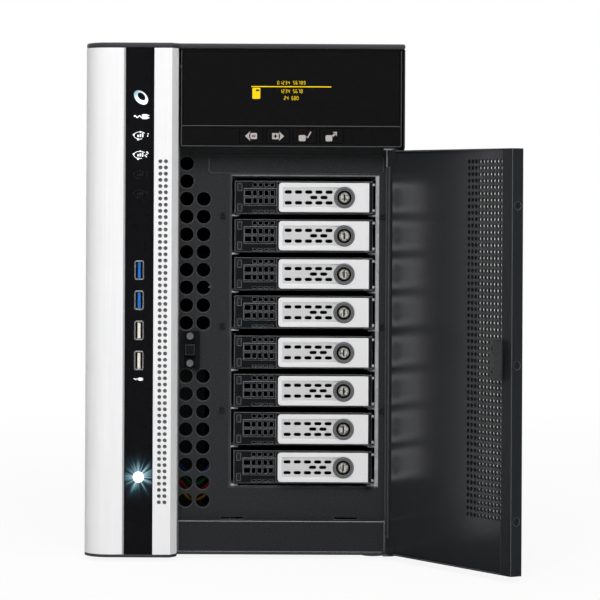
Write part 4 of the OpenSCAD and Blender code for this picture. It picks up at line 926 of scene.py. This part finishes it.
class TOWER_OT_menu_keys(Operator):
    """Finish the four menu keys and print their pictograms"""

    bl_idname = "tower.menu_keys"
    bl_label = "Menu keys"

    def execute(self, context):
        sizes = context.scene.tower_sizes
        for i, draw in zip(KEYS, (self.back, self.forward, self.accept, self.leave)):
            node = f"menu_key_{i}"
            dress((node,), "glass", sizes.moulded_edge)
            low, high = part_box(node)
            middle = (low + high) / 2 / MM
            face = low.y / MM
            mesh = bmesh.new()
            draw(mesh, middle.x, middle.z, (face - sizes.print_t / MM, face + PRINT_SUNK))
            piece(f"mark_key_{i}", mesh, ["key_ink"], node)
        return {"FINISHED"}

    def back(self, mesh, x, z, y):
        slab(mesh, [(x - 4.6, z), (x - 0.7, z - 3.7), (x - 1.7, z), (x - 0.7, z + 3.7)], y)
        collar(mesh, rounded((x + 1.9, z), (2.6, 1.0), 0.2), rounded((x + 1.9, z), (5.0, 4.6), 0.9), y)

    def forward(self, mesh, x, z, y):
        slab(mesh, [(x + 4.6, z), (x + 0.7, z + 3.7), (x + 1.7, z), (x + 0.7, z - 3.7)], y)
        plus = [(-0.45, 1.4), (-0.45, 0.45), (-1.4, 0.45), (-1.4, -0.45), (-0.45, -0.45), (-0.45, -1.4),
                (0.45, -1.4), (0.45, -0.45), (1.4, -0.45), (1.4, 0.45), (0.45, 0.45), (0.45, 1.4)]
        edge = [(-1.2, 2.3), (-2.5, 2.3), (-2.5, 1.2), (-2.5, -1.2), (-2.5, -2.3), (-1.2, -2.3),
                (1.2, -2.3), (2.5, -2.3), (2.5, -1.2), (2.5, 1.2), (2.5, 2.3), (1.2, 2.3)]
        collar(mesh, [(x - 1.9 + u, z + v) for u, v in plus], [(x - 1.9 + u, z + v) for u, v in edge], y)

    def accept(self, mesh, x, z, y):
        slab(mesh, rounded((x - 1.9, z - 1.4), (5.2, 4.6), 0.9), y)
        stroke(mesh, [(x + 1.2, z - 0.2), (x + 2.1, z - 1.2), (x + 4.6, z + 3.4)], 0.9, y)

    def leave(self, mesh, x, z, y):
        slab(mesh, rounded((x - 1.9, z - 1.4), (5.0, 4.6), 0.9), y)
        stroke(mesh, [(x + 0.9, z + 0.2), (x + 3.0, z + 2.3)], 1.5, y)
        slab(mesh, [(x + 4.2, z + 3.5), (x + 0.9, z + 3.3), (x + 4.0, z + 0.2)], y)


class TOWER_OT_door(Operator):
    """Coat the door and its fittings"""

    bl_idname = "tower.door"
    bl_label = "Door"

    def execute(self, context):
        dress(("door_liner", "door_fittings"), "door")
        dress(("door_skin",), "door_skin")
        return {"FINISHED"}


class TOWER_OT_touch_latch(Operator):
    """Finish the touch latch and its plunger"""

    bl_idname = "tower.touch_latch"
    bl_label = "Touch latch"

    def execute(self, context):
        edge = context.scene.tower_sizes.moulded_edge
        dress(("touch_latch",), "nylon", edge)
        dress(("latch_plunger",), "tray", edge)
        return {"FINISHED"}


class TOWER_OT_trays(Operator):
    """Mould the tray bezels and set two lamp lenses in each"""

    bl_idname = "tower.trays"
    bl_label = "Trays"

    def execute(self, context):
        for i in BAYS:
            dress((f"tray_{i}",), "tray")
            low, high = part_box(f"lever_{i}")
            self.lenses(i, (low.z + high.z) / 2 / MM)
        return {"FINISHED"}

    def lenses(self, i, z):
        """Two clear lenses, each a domed pad in its pocket."""
        x, back, face, reach = -4.3, -129.05, -130.9, 7.7
        mesh = bmesh.new()
        for s in (-1, 1):
            middle = (x, z + s * reach)
            rings = [rounded(middle, size, corner) for size, corner in LENS_RINGS]
            loft(mesh, rings, (back, face + 0.35, face, face - 0.12))
        piece(f"lamp_lenses_{i}", mesh, ["lens"], f"tray_{i}")


class TOWER_OT_levers(Operator):
    """Spray the levers silver"""

    bl_idname = "tower.levers"
    bl_label = "Levers"

    def execute(self, context):
        dress([f"lever_{i}" for i in BAYS], "lever", context.scene.tower_sizes.lever_edge)
        return {"FINISHED"}


class TOWER_OT_locks(Operator):
    """Turn the key locks"""

    bl_idname = "tower.locks"
    bl_label = "Locks"

    def execute(self, context):
        dress([f"lock_{i}" for i in BAYS], "lock")
        return {"FINISHED"}


class TOWER_OT_inside(Operator):
    """Finish the boards, the supply, the fans and the rear sockets, and colour the leads"""

    bl_idname = "tower.inside"
    bl_label = "Inside and rear"

    def execute(self, context):
        edge = context.scene.tower_sizes.moulded_edge
        dress(("backplane", "motherboard"), "board")
        dress(("power_supply",), "steel")
        dress(("rear_sockets",), "sockets", edge)
        dress(("psu_switch",), "nylon", edge)
        dress(("fan_frames", "fan_rotor_1", "fan_rotor_2"), "nylon")
        self.filter()
        self.leads()
        return {"FINISHED"}

    def filter(self):
        """A sheet of black foam against the front of the fan frames, with a softly pressed rim."""
        low, high = (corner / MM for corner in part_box("fan_frames"))
        middle = ((low.x + high.x) / 2, (low.z + high.z) / 2)
        margin, corner = 4, 4
        size = (high.x - low.x - margin, high.z - low.z - margin)
        mesh = bmesh.new()
        loft(
            mesh, [rounded(middle, (size[0] - 2 * k, size[1] - 2 * k), corner) for k in (0, 0, 1, 4)],
            (low.y, low.y - 2, low.y - 2.7, low.y - 3)
        )
        piece("fan_filter", mesh, ["foam"], "case")

    def leads(self):
        """Four soft leads from the socket board to the main board, along the route of the frame's harness."""
        for i in range(4):
            line = eased([Vector((x, y + dy * i, z + dz * i)) for x, y, z, dy, dz in LEAD_ROUTE])
            mesh = bmesh.new()
            tube(mesh, line, LEAD_R)
            made = piece(f"lead_{i + 1}", mesh, [f"lead_{i + 1}"], "case", 60)
            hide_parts("wiring_harness")


class TOWER_OT_stage(Operator):
    """Set up the camera, the pale floor and the soft studio light"""

    bl_idname = "tower.stage"
    bl_label = "Studio"

    def execute(self, context):
        scene = context.scene
        scene.view_settings.view_transform = "Standard"
        for set_up in (self.camera, self.floor, self.lamps, self.flag, self.world):
            set_up(scene)
        return {"FINISHED"}

    def camera(self, scene):
        """The photograph's view: level but for a slight roll, with the framing set by the lens shift."""
        sizes = scene.tower_sizes
        data = bpy.data.cameras.new("camera")
        data.lens = sizes.lens
        data.shift_x, data.shift_y = (shift / IMAGE_SIDE for shift in SHIFT)
        data.clip_end = 50
        made = bpy.data.objects.new("camera", data)
        made.location = (CAMERA_X, -sizes.camera_back, sizes.camera_h)
        made.rotation_euler = (math.pi / 2, CAMERA_ROLL, 0)
        scene.collection.objects.link(made)
        scene.camera = made

    def floor(self, scene):
        """A wide pale sheet that keeps the shadow near the tower and turns to plain white far off."""
        mesh = bmesh.new()
        bmesh.ops.create_grid(mesh, x_segments=8, y_segments=8, size=12)
        # Studio paper: plain white, a little grey only where the tower shades it.
        paper, tree = blank(bpy.data.materials, "studio_paper_white")
        self.prop(scene, "floor", mesh, paper).visible_glossy = False
        place = add(tree, "TexCoord", out="Object")
        far = add(tree, "VectorMath", {0: place}, "Value", operation="LENGTH")
        plain = add(
            tree, "MapRange",
            {"Value": far, "From Min": 0.35, "From Max": 1.6, "To Min": 0.9, "To Max": 1.0}
        )
        share = add(tree, "Math", {0: plain, 1: self.seen(tree)}, operation="MULTIPLY")
        sheet = add(tree, "BsdfDiffuse", {"Color": (0.9, 0.9, 0.9, 1)})
        white = add(tree, "Emission", {"Color": WHITE, "Strength": 1.0})
        mixed = add(tree, "MixShader", {0: share, 1: sheet, 2: white})
        add(tree, "OutputMaterial", {"Surface": mixed}, None)

    def prop(self, scene, name, mesh, finish):
        """An object of the studio."""
        data = bpy.data.meshes.new(name)
        mesh.to_mesh(data)
        mesh.free()
        data.materials.append(finish)
        made = bpy.data.objects.new(name, data)
        scene.collection.objects.link(made)
        return made

    def seen(self, tree):
        """A factor that is 1 for rays from the camera, a mirror or glass."""
        path = add(tree, "LightPath", out=None).outputs
        both = add(tree, "Math", {0: path["Is Camera Ray"], 1: path["Is Glossy Ray"]}, operation="MAXIMUM")
        return add(tree, "Math", {0: both, 1: path["Is Transmission Ray"]}, operation="MAXIMUM")

    def lamps(self, scene):
        """A broad soft key above the camera, a fill from the right, an overhead box and one for the rear."""
        aim = Vector((0.02, -0.1, 0.2))
        for name, place, side, watts in (
            ("front_box", (0.0, -2.1, 1.6), 1.1, 48),
            ("right_box", (1.9, -1.7, 1.1), 1.3, 1.5),
            ("top_box", (0.0, -0.2, 2.2), 1.6, 9),
            ("rear_box", (-0.9, 2.8, 1.6), 1.6, 36),
        ):
            data = bpy.data.lights.new(name, "AREA")
            data.shape = "SQUARE"
            data.size = side
            data.energy = watts
            made = bpy.data.objects.new(name, data)
            made.location = place
            made.rotation_euler = (aim - Vector(place)).to_track_quat("-Z", "Y").to_euler()
            made.visible_glossy = name != "front_box"
            scene.collection.objects.link(made)

    def flag(self, scene):
        """Dark sheets round the camera, met by mirrored rays alone, that keep black fronts black."""
        mesh = bmesh.new()
        for axis, place in (
            ("X", (0, -3.4, 0.9)), ("Y", (-1.9, -1.4, 0.9)), ("Y", (1.9, -1.4, 0.9)), ("Z", (0, -1.4, -0.01))
        ):
            made = bmesh.ops.create_grid(mesh, x_segments=6, y_segments=6, size=2)["verts"]
            bmesh.ops.rotate(mesh, verts=made, matrix=Matrix.Rotation(math.pi / 2, 3, axis))
            bmesh.ops.translate(mesh, verts=made, vec=place)
        # Woven felt: dull black with a soft nap.
        felt = grained("woven_felt_black", linear("#1A1A1B"), 2.0, 0.1, (0.85, 0.95))[0]
        made = self.prop(scene, "flag", mesh, felt)
        for kind in ("camera", "diffuse", "transmission", "shadow", "volume_scatter"):
            setattr(made, f"visible_{kind}", False)

    def world(self, scene):
        """A white surround, at a lower level as light on the object."""
        scene.world, tree = blank(bpy.data.worlds, "studio")
        soft = add(tree, "Background", {"Color": WHITE, "Strength": 0.12})
        white = add(tree, "Background", {"Color": WHITE, "Strength": 1.0})
        mixed = add(tree, "MixShader", {0: self.seen(tree), 1: soft, 2: white})
        add(tree, "OutputWorld", {"Surface": mixed}, None)


STEPS = (
    "stage", "finishes", "case", "cage", "column", "power_button", "display", "menu_keys", "door",
    "touch_latch", "trays", "levers", "locks", "inside",
)


class TOWER_PT_steps(Panel):
    """The steps that dress the tower, in order"""

    bl_idname = "TOWER_PT_steps"
    bl_label = "Storage tower"
    bl_space_type = "VIEW_3D"
    bl_region_type = "UI"
    bl_category = "Tower"

    def draw(self, context):
        for step in STEPS:
            self.layout.operator(f"tower.{step}")


CLASSES = (
    TowerColours, TowerSizes, TOWER_OT_finishes, TOWER_OT_case, TOWER_OT_cage, TOWER_OT_column,
    TOWER_OT_power_button, TOWER_OT_display, TOWER_OT_menu_keys, TOWER_OT_door, TOWER_OT_touch_latch,
    TOWER_OT_trays, TOWER_OT_levers, TOWER_OT_locks, TOWER_OT_inside, TOWER_OT_stage, TOWER_PT_steps,
)


def register():
    for item in CLASSES:
        bpy.utils.register_class(item)
    bpy.types.Scene.tower_colours = PointerProperty(type=TowerColours)
    bpy.types.Scene.tower_sizes = PointerProperty(type=TowerSizes)


def unregister():
    del bpy.types.Scene.tower_sizes
    del bpy.types.Scene.tower_colours
    for item in reversed(CLASSES):
        bpy.utils.unregister_class(item)


def main():
    register()
    for step in STEPS:
        getattr(bpy.ops.tower, step)()


if __name__ == "__main__":
    main()
